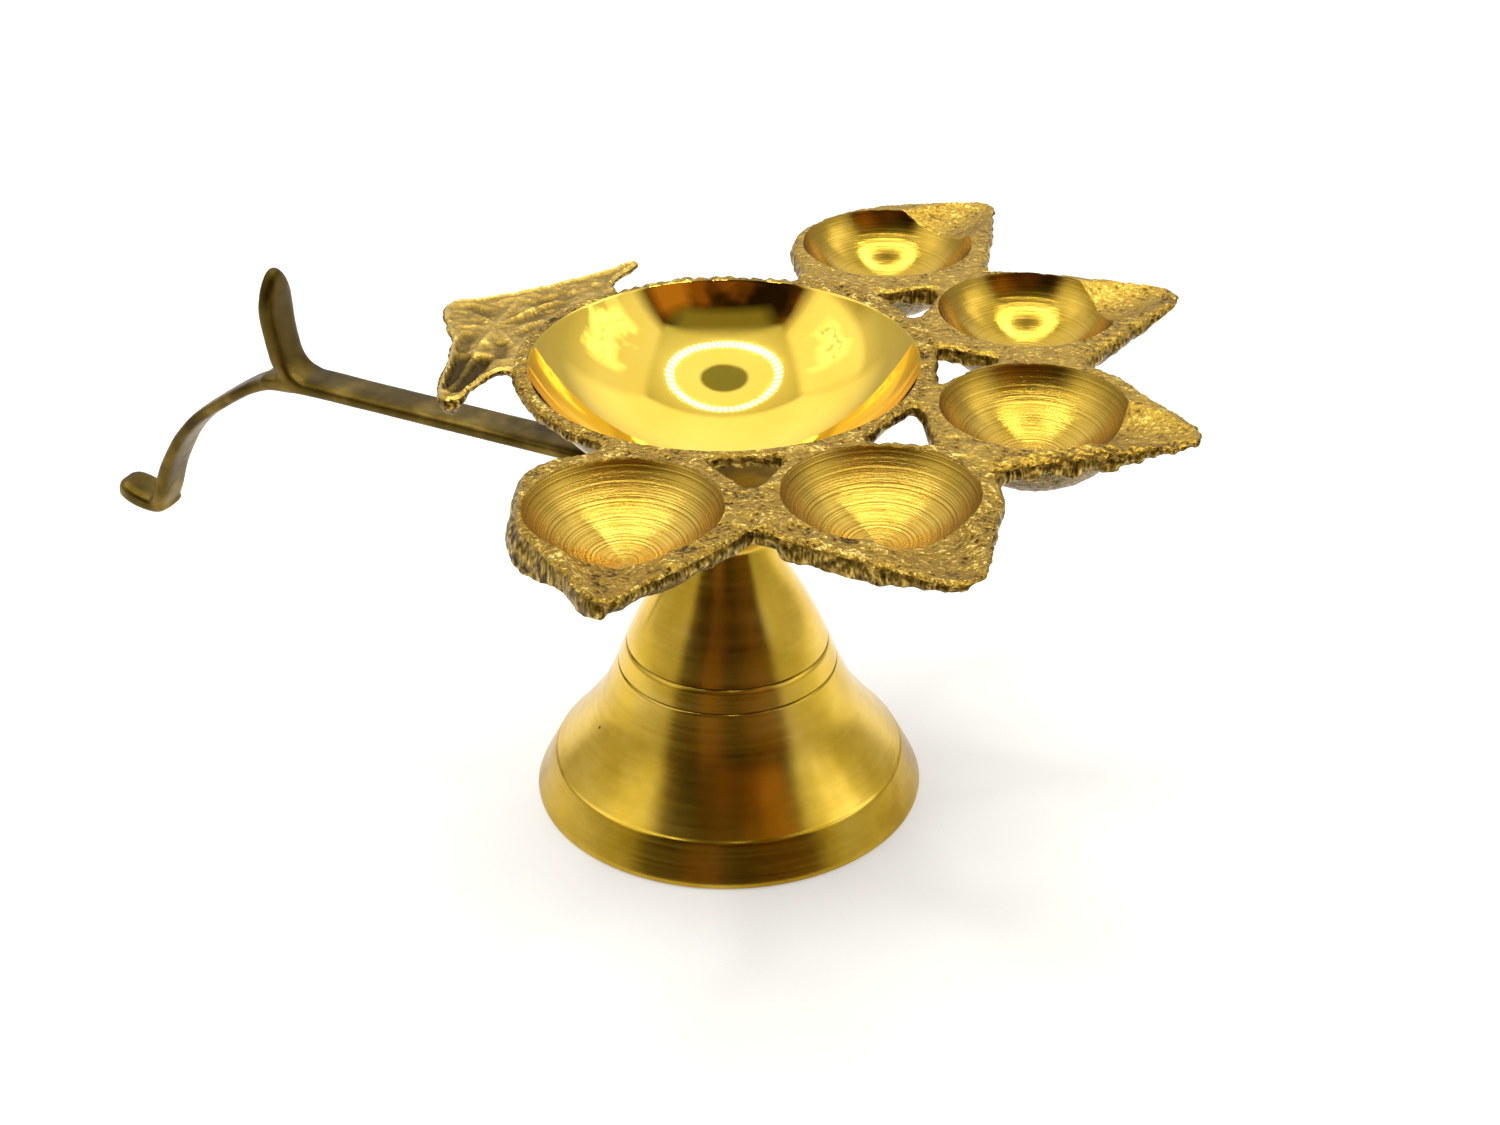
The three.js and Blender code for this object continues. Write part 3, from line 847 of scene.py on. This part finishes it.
def make_piece(mesh, body, slot, *nodes):
    piece = in_scene(mesh.name, mesh)
    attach(piece, body)
    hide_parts(*nodes)


# ---- Materials ----
class Nodes:
    """A node tree, with a short call for each kind of node used. Each call gives an output socket."""

    def __init__(self, owner):
        owner.use_nodes = True
        self.tree = owner.node_tree

    def feed(self, socket, value):
        """Links an output to the socket, or sets its number or colour."""
        if isinstance(value, bpy.types.NodeSocket):
            self.tree.links.new(value, socket)
        else:
            socket.default_value = value

    def add(self, kind, inputs=None, **settings):
        made = self.tree.nodes.new("ShaderNode" + kind)
        for key, value in settings.items():
            setattr(made, key, value)
        for socket, value in (inputs or {}).items():
            self.feed(made.inputs[socket], value)
        return made.outputs

    def maths(self, operation, first, second=0.0):
        return self.add("Math", {0: first, 1: second}, operation=operation)[0]

    def attribute(self, name):
        return self.add("Attribute", attribute_name=name)["Fac"]

    def place(self):
        """Where the shaded point is, in metres."""
        return self.add("TexCoord")["Object"]

    def speckle(self, size, detail=3, stretch=(1, 1, 1)):
        """Noise from 0 to 1 with features about `size` mm across."""
        where = self.add("Mapping", {"Vector": self.place(), "Scale": stretch})["Vector"]
        return self.add("TexNoise", {"Vector": where, "Scale": 1 / (size * MM), "Detail": detail})["Fac"]

    def ramp(self, factor, *stops):
        """A colour that changes with factor: stops are (position, (r, g, b))."""
        colour = self.add("ValToRGB", {"Fac": factor})["Color"]
        elements = colour.node.color_ramp.elements
        elements.remove(elements[1])
        elements[0].position = stops[0][0]
        elements[0].color = (*stops[0][1], 1)
        for position, value in stops[1:]:
            elements.new(position).color = (*value, 1)
        return colour

    def fitted(self, value, low, high, to_low, to_high):
        sockets = {"Value": value, "From Min": low, "From Max": high, "To Min": to_low, "To Max": to_high}
        return self.add("MapRange", sockets)["Result"]

    def mixed(self, factor, first, second):
        return self.add("Mix", {0: factor, 6: first, 7: second}, data_type="RGBA")[2]

    def bump(self, height, strength, distance, normal=None):
        sockets = {"Height": height, "Strength": strength, "Distance": distance * MM}
        if normal:
            sockets["Normal"] = normal
        return self.add("Bump", sockets)["Normal"]


class Metal(Nodes):
    """A brass material while its nodes are put together."""

    def __init__(self, name):
        self.material = bpy.data.materials.new(name)
        super().__init__(self.material)
        self.shader = self.tree.nodes["Principled BSDF"].inputs
        self.shader["Metallic"].default_value = 1

    def turned(self, amount):
        """Spreads reflections up and down the slope, as fine turning marks do."""
        self.shader["Anisotropic"].default_value = amount
        self.feed(self.shader["Tangent"], self.add("CombineXYZ", {"Z": 1})["Vector"])

    def finished(self, colour, roughness, normal):
        for name, source in (("Base Color", colour), ("Roughness", roughness), ("Normal", normal)):
            self.feed(self.shader[name], source)
        return self.material


def polished_brass():
    metal = Metal("polished_brass")
    return metal.finished(
        metal.ramp(metal.speckle(14, 4), (0.3, (0.84, 0.57, 0.075)), (0.7, (0.9, 0.65, 0.11))),
        metal.fitted(metal.speckle(5, 6), 0.3, 0.75, 0.02, 0.07),
        metal.bump(metal.speckle(6, 3), 0.25, 0.05),
    )


# Each cup's boring: its finest and coarsest roughness, how far its marks spread light, and how clean it is.
BORING = [
    (0.13, 0.24, 0.85, 1), (0.13, 0.24, 0.85, 0.93), (0.12, 0.19, 0.8, 0.9), (0.09, 0.14, 0.55, 0.92),
    (0.09, 0.14, 0.5, 0.92),
]
COARSEST_BORING = 0.24


def bored_brass(number, smooth, coarse, spread_out, clean):
    """A cup's inside: bright metal under fine tool rings, blurred most down the slope."""
    metal = Metal(f"bored_brass_{number}")
    sockets = {"W": metal.attribute("ring"), "Scale": 3, "Detail": 5, "Roughness": 0.75}
    rings = metal.add("TexNoise", sockets, noise_dimensions="1D")["Fac"]
    dark, middle, light = clean * np.array([(0.28, 0.16, 0.012), (0.52, 0.335, 0.04), (0.74, 0.53, 0.14)])
    contrast = (coarse / COARSEST_BORING) ** 2
    dark, light = (middle + (colour - middle) * contrast for colour in (dark, light))
    tone = metal.ramp(rings, (0.32, dark), (0.46, middle), (0.68, light))
    stain = metal.fitted(metal.speckle(5, 4), 0.4, 0.75, 0, 0.35)
    metal.turned(spread_out)
    return metal.finished(
        metal.mixed(stain, tone, (0.42, 0.24, 0.02, 1)),
        metal.fitted(rings, 0.3, 0.7, coarse, smooth),
        metal.bump(rings, 0.7, 1.4 * coarse**2, metal.bump(metal.speckle(0.5, 4), 0.1, 0.03)),
    )


def cast_brass(name, dark, middle, light, depth):
    """Rough cast brass: random grain, with painted shade darkening its pits and low places and painted
    highlight lightening its high spots.
    """
    metal = Metal(name)
    grain = metal.speckle(0.66, 6)
    # The relief height paints shade into the low places and highlight onto the high spots.
    relief_shade_and_highlight = metal.fitted(metal.attribute("relief"), -0.45, 0.22, -0.26, 0.1)
    patches = metal.fitted(metal.speckle(3.2, 4), 0.3, 0.7, -0.08, 0.08)
    height = metal.maths("ADD", metal.maths("ADD", grain, relief_shade_and_highlight), patches)
    fine = metal.bump(metal.speckle(0.28, 4), 0.8, 0.09 * depth)
    return metal.finished(
        metal.ramp(height, (0.24, dark), (0.4, middle), (0.53, middle), (0.68, light)),
        metal.fitted(grain, 0.35, 0.65, 0.46, 0.24),
        metal.bump(grain, 1, 0.5 * depth, fine),
    )


def bowl_skin_brass():
    """The outside of the bowl: a skimmed casting, brown with age, with faint turning lines."""
    metal = Metal("bowl_skin_brass")
    age = metal.speckle(6, 5)
    lines = metal.speckle(0.6, 3, (0.04, 0.04, 1))
    return metal.finished(
        metal.ramp(age, (0.32, (0.1, 0.062, 0.008)), (0.5, (0.22, 0.14, 0.02)), (0.7, (0.36, 0.235, 0.04))),
        metal.fitted(age, 0.3, 0.7, 0.46, 0.3),
        metal.bump(lines, 0.3, 0.06, metal.bump(metal.speckle(1.3, 4), 0.5, 0.15)),
    )


def shaded_filed_brass():
    """The plate's upright sides: cast metal painted dark as shade, scraped bright in places by upright file
    strokes.
    """
    metal = Metal("shaded_filed_brass")
    strokes, lumps = metal.speckle(0.5, 4, (1, 1, 0.2)), metal.speckle(1.1, 6)
    height = metal.mixed(metal.fitted(metal.speckle(5, 3), 0.43, 0.56, 0, 1), lumps, strokes)
    # These stops are set dark, as painted shade on the upright walls.
    stops = [(0.34, (0.025, 0.015, 0.002)), (0.5, (0.19, 0.118, 0.016)), (0.68, (0.7, 0.48, 0.11))]
    return metal.finished(
        metal.ramp(height, *stops),
        metal.fitted(height, 0.3, 0.7, 0.55, 0.3),
        metal.bump(height, 1, 0.55),
    )


def chased_brass():
    """The hand guard: smooth worn high lines over a dark stippled ground, partly wear and patina, partly
    painted highlight on the raised lines and painted shade in the ground and hollows.
    """
    metal = Metal("chased_brass")
    stipple = metal.speckle(0.5, 4)
    # Colour follows the relief height: partly patina and wear, partly painted shade in the low ground and
    # painted highlight on the raised border and veins.
    height = metal.maths("ADD", metal.attribute("relief"), metal.fitted(stipple, 0.3, 0.7, -0.16, 0.16))
    stops = [
        (0, (0.05, 0.032, 0.006)), (0.45, (0.2, 0.128, 0.022)),
        (0.75, (0.4, 0.26, 0.046)), (1, (0.68, 0.46, 0.1)),
    ]
    return metal.finished(
        metal.ramp(metal.fitted(height, -1.1, 0.05, 0, 1), *stops),
        metal.fitted(height, -0.8, 0, 0.5, 0.3),
        metal.bump(stipple, 0.8, 0.2),
    )


def handle_brass():
    """The handle: a dull, tarnished casting, painted darker going up the thumb rest as shade."""
    metal = Metal("handle_brass")
    height = metal.add("SeparateXYZ", {0: metal.place()})["Z"]
    # Painted shade: the colour darkens going up the thumb rest.
    raised = metal.fitted(height, THUMB_LINE[0][1] * MM, THUMB_LINE[3][1] * MM, 0, 0.7)
    stops = [(0.3, (0.045, 0.029, 0.004)), (0.5, (0.1, 0.065, 0.01)), (0.72, (0.23, 0.153, 0.034))]
    return metal.finished(
        metal.mixed(raised, metal.ramp(metal.speckle(7, 5), *stops), (0.07, 0.044, 0.007, 1)),
        metal.fitted(metal.speckle(2, 5), 0.3, 0.7, 0.34, 0.5),
        metal.bump(metal.speckle(1.4, 4), 0.35, 0.12, metal.bump(metal.speckle(0.4, 3), 0.2, 0.05)),
    )


def satin_brass():
    """The pedestal: turned and buffed; browner at the foot, partly patina and partly painted shade; dark in
    its grooves and at a few pits, partly grime and partly painted shade.
    """
    metal = Metal("satin_brass")
    lines, tarnish = metal.speckle(0.5, 3, (0.02, 0.02, 1)), metal.speckle(11, 5)
    height = metal.attribute("ring")
    upper = [(0.32, (0.56, 0.36, 0.025)), (0.5, (0.68, 0.45, 0.05)), (0.7, (0.76, 0.53, 0.1))]
    # The foot stops are browner: partly patina, partly painted shade on the foot band's steeper faces.
    foot = [(0.32, (0.4, 0.24, 0.012)), (0.5, (0.54, 0.35, 0.03)), (0.7, (0.66, 0.45, 0.07))]
    below = metal.fitted(height, 7, 6.6, 0, 1)
    tone = metal.mixed(below, metal.ramp(tarnish, *upper), metal.ramp(tarnish, *foot))
    # Grooves painted dark: partly grime, partly painted shade in the creases.
    for groove in GROOVES:
        away = metal.maths("ABSOLUTE", metal.maths("SUBTRACT", height, groove))
        tone = metal.mixed(metal.fitted(away, 0.3, 0.1, 0, 0.7), tone, (0.12, 0.068, 0.006, 1))
    # Dark spots for a few small pits that have no geometry: partly dirt, partly painted shade.
    pits = metal.add("TexVoronoi", {"Vector": metal.place(), "Scale": 1 / (11 * MM)})
    near = metal.fitted(pits["Distance"], 0.045, 0.03, 0, 1)
    chosen = metal.add("SeparateColor", {"Color": pits["Color"]})["Red"]
    pit_dirt_and_shade = metal.maths("MULTIPLY", near, metal.fitted(chosen, 0.6, 0.62, 0, 1))
    metal.turned(0.6)
    return metal.finished(
        metal.mixed(pit_dirt_and_shade, tone, (0.02, 0.012, 0.003, 1)),
        metal.fitted(lines, 0.3, 0.7, 0.2, 0.27),
        metal.bump(lines, 0.1, 0.05, metal.bump(metal.speckle(3, 3), 0.1, 0.1)),
    )


def screw_brass():
    """The stud and washer: plain turned brass."""
    metal = Metal("screw_brass")
    lines = metal.speckle(0.3, 4, (1, 1, 0.3))
    return metal.finished(
        metal.ramp(lines, (0.3, (0.45, 0.3, 0.08)), (0.7, (0.75, 0.55, 0.18))),
        metal.fitted(lines, 0.3, 0.7, 0.26, 0.42),
        metal.bump(lines, 0.3, 0.05),
    )


CAST_METAL = cast_brass("cast_brass", (0.05, 0.028, 0.004), (0.35, 0.215, 0.03), (0.94, 0.68, 0.18), 1)
# The far leaves: the same casting, better cleaned and softer.
WORN = cast_brass("worn_brass", (0.1, 0.056, 0.006), (0.4, 0.25, 0.034), (0.76, 0.52, 0.1), 0.55)
# The underside: the same casting with darker colours, as painted shade under the plate.
SHADED_UNDERSIDE = cast_brass("shaded_underside_brass", (0.04, 0.025, 0.004), (0.2, 0.13, 0.025), (0.5, 0.35, 0.09), 1)
POLISHED, BOWL_SKIN, SHADED_FILED, CHASED = polished_brass(), bowl_skin_brass(), shaded_filed_brass(), chased_brass()
HANDLE_METAL, SATIN, SCREW = handle_brass(), satin_brass(), screw_brass()


# ---- Pieces ----
def make_plate():
    plate = Plate()
    for number, cup in enumerate(CUPS):
        shell = plate_piece(plate, number, cup_skins(np.array(cup), GROOVE.depth[number]))
        cast = CAST_METAL if number < 2 else WORN
        materials = [cast, SHADED_UNDERSIDE, SHADED_FILED, bored_brass(number + 1, *BORING[number])]
        mesh = mesh_of(f"leaf_cup_{number + 1}", shell, materials)
        make_piece(mesh, "lamp_head", "bored_brass", f"petal_cup_{number + 1}")
    materials = [CAST_METAL, SHADED_UNDERSIDE, SHADED_FILED, POLISHED, BOWL_SKIN]
    mesh = mesh_of("oil_bowl", plate_piece(plate, 5, bowl_skins), materials)
    make_piece(mesh, "lamp_head", "polished_brass", "bowl")
    mesh = mesh_of("guard_plate", plate_piece(plate, 6, None), [CHASED, SHADED_UNDERSIDE, SHADED_FILED])
    make_piece(mesh, "lamp_head", "cast_brass", "hand_guard")


def merged(shells):
    """Several shells as one, their points renumbered."""
    whole = Shell()
    for shell in shells:
        start = whole.count
        whole.add(np.vstack(shell.points))
        whole.faces += [[start + v for v in face] for face in shell.faces]
        whole.kinds += shell.kinds
    return whole


def make_handle():
    """The handle's straps and eye, fused by a fine remesh and smoothed like a worn casting."""
    middle = BAR_LINE[0][1] - 0.1
    half = EYE.thickness / 2
    ring = [
        (EYE.hole, middle - half), (EYE.radius - 0.4, middle - half),
        (EYE.radius, middle - half + 0.4), (EYE.radius, middle + half - 0.4),
        (EYE.radius - 0.4, middle + half), (EYE.hole, middle + half),
    ]
    whole = merged([turning(ring, 96), *map(strap, (BAR_LINE, THUMB_LINE, TAIL_LINE, TOE_LINE))])
    turn = math.radians(HANDLE_TURN)
    x, y, z = np.vstack(whole.points).T
    across = y * math.cos(turn) - x * math.sin(turn)
    whole.points = [np.c_[x * math.cos(turn) + y * math.sin(turn), across, z]]
    rough = in_scene("handle_rough", mesh_of("handle_rough", whole, []))
    fuse = rough.modifiers.new("fuse", "REMESH")
    fuse.mode = "VOXEL"
    fuse.voxel_size = 0.4 * MM
    wear = rough.modifiers.new("wear", "SMOOTH")
    wear.factor = 0.5
    wear.iterations = 7
    graph = bpy.context.evaluated_depsgraph_get()
    made = bpy.data.meshes.new_from_object(rough.evaluated_get(graph))
    bpy.data.objects.remove(rough)
    made.name = "handle"
    made.materials.clear()
    made.materials.append(HANDLE_METAL)
    made.shade_smooth()
    nodes = "handle_bar", "thumb_rest", "handle_tail", "handle_toe"
    make_piece(made, "lamp_head", "handle_brass", *nodes)


def make_pedestal():
    profile = [
        *spread(FOOT_LINE, 0.5), *spread(FLARE_LINE, 0.6), *BAND_LINE, *spread(NECK_LINE, 0.6),
        *COLLAR_LINE, *INSIDE_LINE[:3], *spread(INSIDE_LINE[3:], 1.2),
    ]
    fine = []
    for (r1, z1), (r2, z2) in zip(profile, [*profile[1:], profile[0]]):
        steps = max(1, math.ceil(math.hypot(r2 - r1, z2 - z1) / 0.7))
        for step in range(steps):
            fine.append((r1 + (r2 - r1) * step / steps, z1 + (z2 - z1) * step / steps))
    make_piece(mesh_of("pedestal_bell", turning(fine, 256), [SATIN]), "pedestal", "satin_brass", "pedestal")


def make_washer():
    bevel = 0.15
    profile = [
        (WASHER.bore + bevel, WASHER_BOTTOM), (WASHER.radius - bevel, WASHER_BOTTOM),
        (WASHER.radius, WASHER_BOTTOM + bevel), (WASHER.radius, WASHER_TOP - bevel),
        (WASHER.radius - bevel, WASHER_TOP), (WASHER.bore + bevel, WASHER_TOP),
        (WASHER.bore, WASHER_TOP - bevel), (WASHER.bore, WASHER_BOTTOM + bevel),
    ]
    mesh = mesh_of("plain_washer", turning(profile, 96), [SCREW])
    make_piece(mesh, "washer", "screw_brass", "clamp_washer")


def make_stud():
    """A threaded stud: its radius rises and falls along a right-hand helix."""
    shell = Shell()
    sides = 60
    angles = np.arange(sides) * 2 * math.pi / sides
    heights = np.arange(STUD_BOTTOM, STUD_TOP + 1e-6, STUD.pitch / 10)
    rows = []
    for z in heights:
        phase = ((z / STUD.pitch - angles / (2 * math.pi)) % 1) * 2 - 1
        crest = STUD.root + (STUD.radius - STUD.root) * np.clip(1.15 * (1 - np.abs(phase)), 0, 1)
        lead = smoothstep(-0.2, 1.2, z - STUD_BOTTOM)
        radius = crest * (0.8 + 0.2 * lead)
        rows.append(shell.add(np.c_[radius * np.cos(angles), radius * np.sin(angles), np.full(sides, z)]))
    shell.strip(rows)
    shell.fan(rows[0][::-1], (0, 0, STUD_BOTTOM))
    shell.fan(rows[-1], (0, 0, STUD_TOP))
    make_piece(mesh_of("threaded_stud", shell, [SCREW]), "lamp_head", "screw_brass", "stud")


# ---- Studio ----
def make_floor():
    mesh = bpy.data.meshes.new("floor")
    turn = Matrix.Rotation(math.radians(CAMERA_HEADING), 3, "Z")
    corners = [(-3, -0.27, 0), (3, -0.27, 0), (3, 3, 0), (-3, 3, 0)]
    mesh.from_pydata([FOOT + turn @ Vector(corner) for corner in corners], [], [(0, 1, 2, 3)])
    material = bpy.data.materials.new("pale_floor")
    material.use_nodes = True
    shader = material.node_tree.nodes["Principled BSDF"].inputs
    shader["Base Color"].default_value = (0.66, 0.66, 0.655, 1)
    shader["Roughness"].default_value = 0.7
    shader["Emission Color"].default_value = (1, 1, 1, 1)
    shader["Emission Strength"].default_value = 0.36
    mesh.materials.append(material)
    floor = in_scene("floor", mesh)
    floor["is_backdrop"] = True


def make_tent():
    """A small light box seen by reflection: bright walls, a lamp ring overhead and a dark open front."""
    world = bpy.data.worlds.new("light_box")
    bpy.context.scene.world = world
    box = Nodes(world)
    box.tree.nodes.clear()
    fitted, divide = box.fitted, partial(box.maths, "DIVIDE")
    product = partial(reduce, partial(box.maths, "MULTIPLY"))

    def length(a, b):
        return box.maths("SQRT", box.maths("ADD", product([a, a]), product([b, b])))

    def between(value, low, high, soft):
        """1 where the value lies between low and high, fading out over `soft`."""
        return product([
            fitted(value, low - soft, low + soft, 0, 1), fitted(value, high - soft, high + soft, 1, 0),
        ])

    def grey(level):
        return (level, level, level, 1)

    way = box.add("TexCoord")["Generated"]
    turn = {"Vector": way, "Angle": -math.radians(CAMERA_HEADING)}
    turned = box.add("VectorRotate", turn, rotation_type="Z_AXIS")["Vector"]
    axes = box.add("SeparateXYZ", {0: turned})
    right, away, height = axes["X"], axes["Y"], axes["Z"]
    level = box.maths("MAXIMUM", length(right, away), 0.001)
    across, depth = divide(right, level), divide(away, level)
    above = box.maths("MAXIMUM", height, 0.02)
    over_x, over_y = divide(right, above), divide(away, above)
    from_middle = length(divide(over_x, 1.1), divide(over_y, 0.9))

    # The walls: grey low down, white higher up, brightest on the left.
    white_high = [(0.3, (0.62, 0.6, 0.54)), (0.55, (1.05, 1.04, 1)), (0.75, (1.1, 1.1, 1.05))]
    tent = box.ramp(height, (0, (0.5, 0.47, 0.42)), *white_high)
    creases = box.add("TexNoise", {"Vector": way, "Scale": 7, "Detail": 3})["Fac"]
    creased = box.maths("ADD", height, fitted(creases, 0.3, 0.7, -0.07, 0.07))
    left, fold = fitted(across, -0.3, -0.5, 0, 1), between(depth, -0.22, 0.28, 0.06)
    spot = product([fitted(across, 0.5, 0.7, 0, 1), between(depth, -0.3, 0.34, 0.06)])

    # The open front has a dim brown room beyond it. The ceiling has a lamp ring, and a hole for the camera.
    room = box.add("TexNoise", {"Vector": way, "Scale": 3.2, "Detail": 2})["Fac"]
    browns = (0.42, (0.016, 0.009, 0.003)), (0.52, (0.06, 0.027, 0.008)), (0.68, (0.26, 0.1, 0.02))
    room = box.ramp(room, *browns)
    whites = (0.36, (1.3, 1.3, 1.2)), (0.5, (0.92, 0.92, 0.8)), (0.9, (0.55, 0.55, 0.36))
    ceiling, overhead = box.ramp(from_middle, *whites), fitted(height, 0.3, 0.4, 0, 1)
    lamps = box.maths("SINE", product([box.maths("ARCTAN2", over_y, over_x), 56]))

    # Each layer covers those before it where all of its masks are 1.
    layers = [
        (grey(1.4), fitted(depth, 0.56, 0.64, 0, 1), fitted(height, 0.25, 0.6, 0, 1)),
        (grey(1.35), left, between(depth, -0.48, 0.56, 0.05), between(height, 0.46, 0.88, 0.03)),
        (grey(2.2), left, fold, between(creased, 0.59, 0.73, 0.05)),
        (grey(0.8), left, fold, between(creased, 0.65, 0.67, 0.012)),
        (
            (0.5, 0.46, 0.32, 1), fitted(across, -0.25, -0.45, 0, 1), between(depth, -0.9, 0.1, 0.1),
            fitted(height, 0.5, 0.38, 0, 1),
        ),
        (grey(2.4), spot, between(creased, 0.46, 0.67, 0.05)),
        (grey(0.9), spot, between(creased, 0.565, 0.58, 0.012)),
        (room, fitted(depth, -0.5, -0.64, 0, 1), fitted(height, 0.93, 0.8, 0, 1)),
        (
            (0.5, 0.22, 0.05, 1), between(across, 0.42, 0.75, 0.06), between(height, 0.5, 0.74, 0.05),
            fitted(depth, -0.3, -0.6, 0, 1),
        ),
        (ceiling, between(over_x, -0.61, 0.63, 0.04), between(over_y, -0.5, 0.47, 0.03), overhead),
        (
            (0.25, 0.23, 0.1, 1), between(over_x, -0.5, 0.53, 0.12), between(over_y, -0.78, -0.5, 0.08),
            overhead,
        ),
        ((0.3, 0.31, 0.19, 1), fitted(from_middle, 0.18, 0.15, 0, 1)),
        ((42, 41, 38, 1), fitted(lamps, -0.4, 0.9, 0.05, 1), between(from_middle, 0.372, 0.43, 0.01)),
    ]
    for colour, *masks in layers:
        tent = box.mixed(product(masks), tent, colour)

    shine = box.add("Background", {"Color": tent, "Strength": 1})[0]
    plain = box.add("Background", {"Color": (1, 1, 1, 1), "Strength": 1})[0]
    seen = box.add("LightPath")["Is Camera Ray"]
    box.add("OutputWorld", {"Surface": box.add("MixShader", {0: seen, 1: shine, 2: plain})[0]})
    world.cycles.sampling_method = "MANUAL"
    world.cycles.sample_map_resolution = 1024


def make_camera():
    heading, tilt, roll = (math.radians(a) for a in (CAMERA_HEADING, CAMERA_TILT, CAMERA_ROLL))
    back = Vector((math.sin(heading) * math.cos(tilt), -math.cos(heading) * math.cos(tilt), math.sin(tilt)))
    level_right = Vector((math.cos(heading), math.sin(heading), 0))
    level_up = back.cross(level_right)
    right = math.cos(roll) * level_right + math.sin(roll) * level_up
    up = -math.sin(roll) * level_right + math.cos(roll) * level_up
    data = bpy.data.cameras.new("camera")
    data.sensor_width = 36
    data.lens = CAMERA_LENS
    camera = in_scene("camera", data)
    turn = Matrix((right, up, back)).transposed().to_4x4()
    camera.matrix_world = Matrix.Translation(FOOT + CAMERA_OFFSET) @ turn
    bpy.context.scene.camera = camera


make_camera()
make_tent()
make_floor()
make_plate()
make_handle()
make_pedestal()
make_washer()
make_stud()
bpy.context.scene.view_settings.view_transform = "Standard"

boxes = {"cad": cad_box, "visual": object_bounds()}
{name: [list(corner) for corner in box] for name, box in boxes.items()}
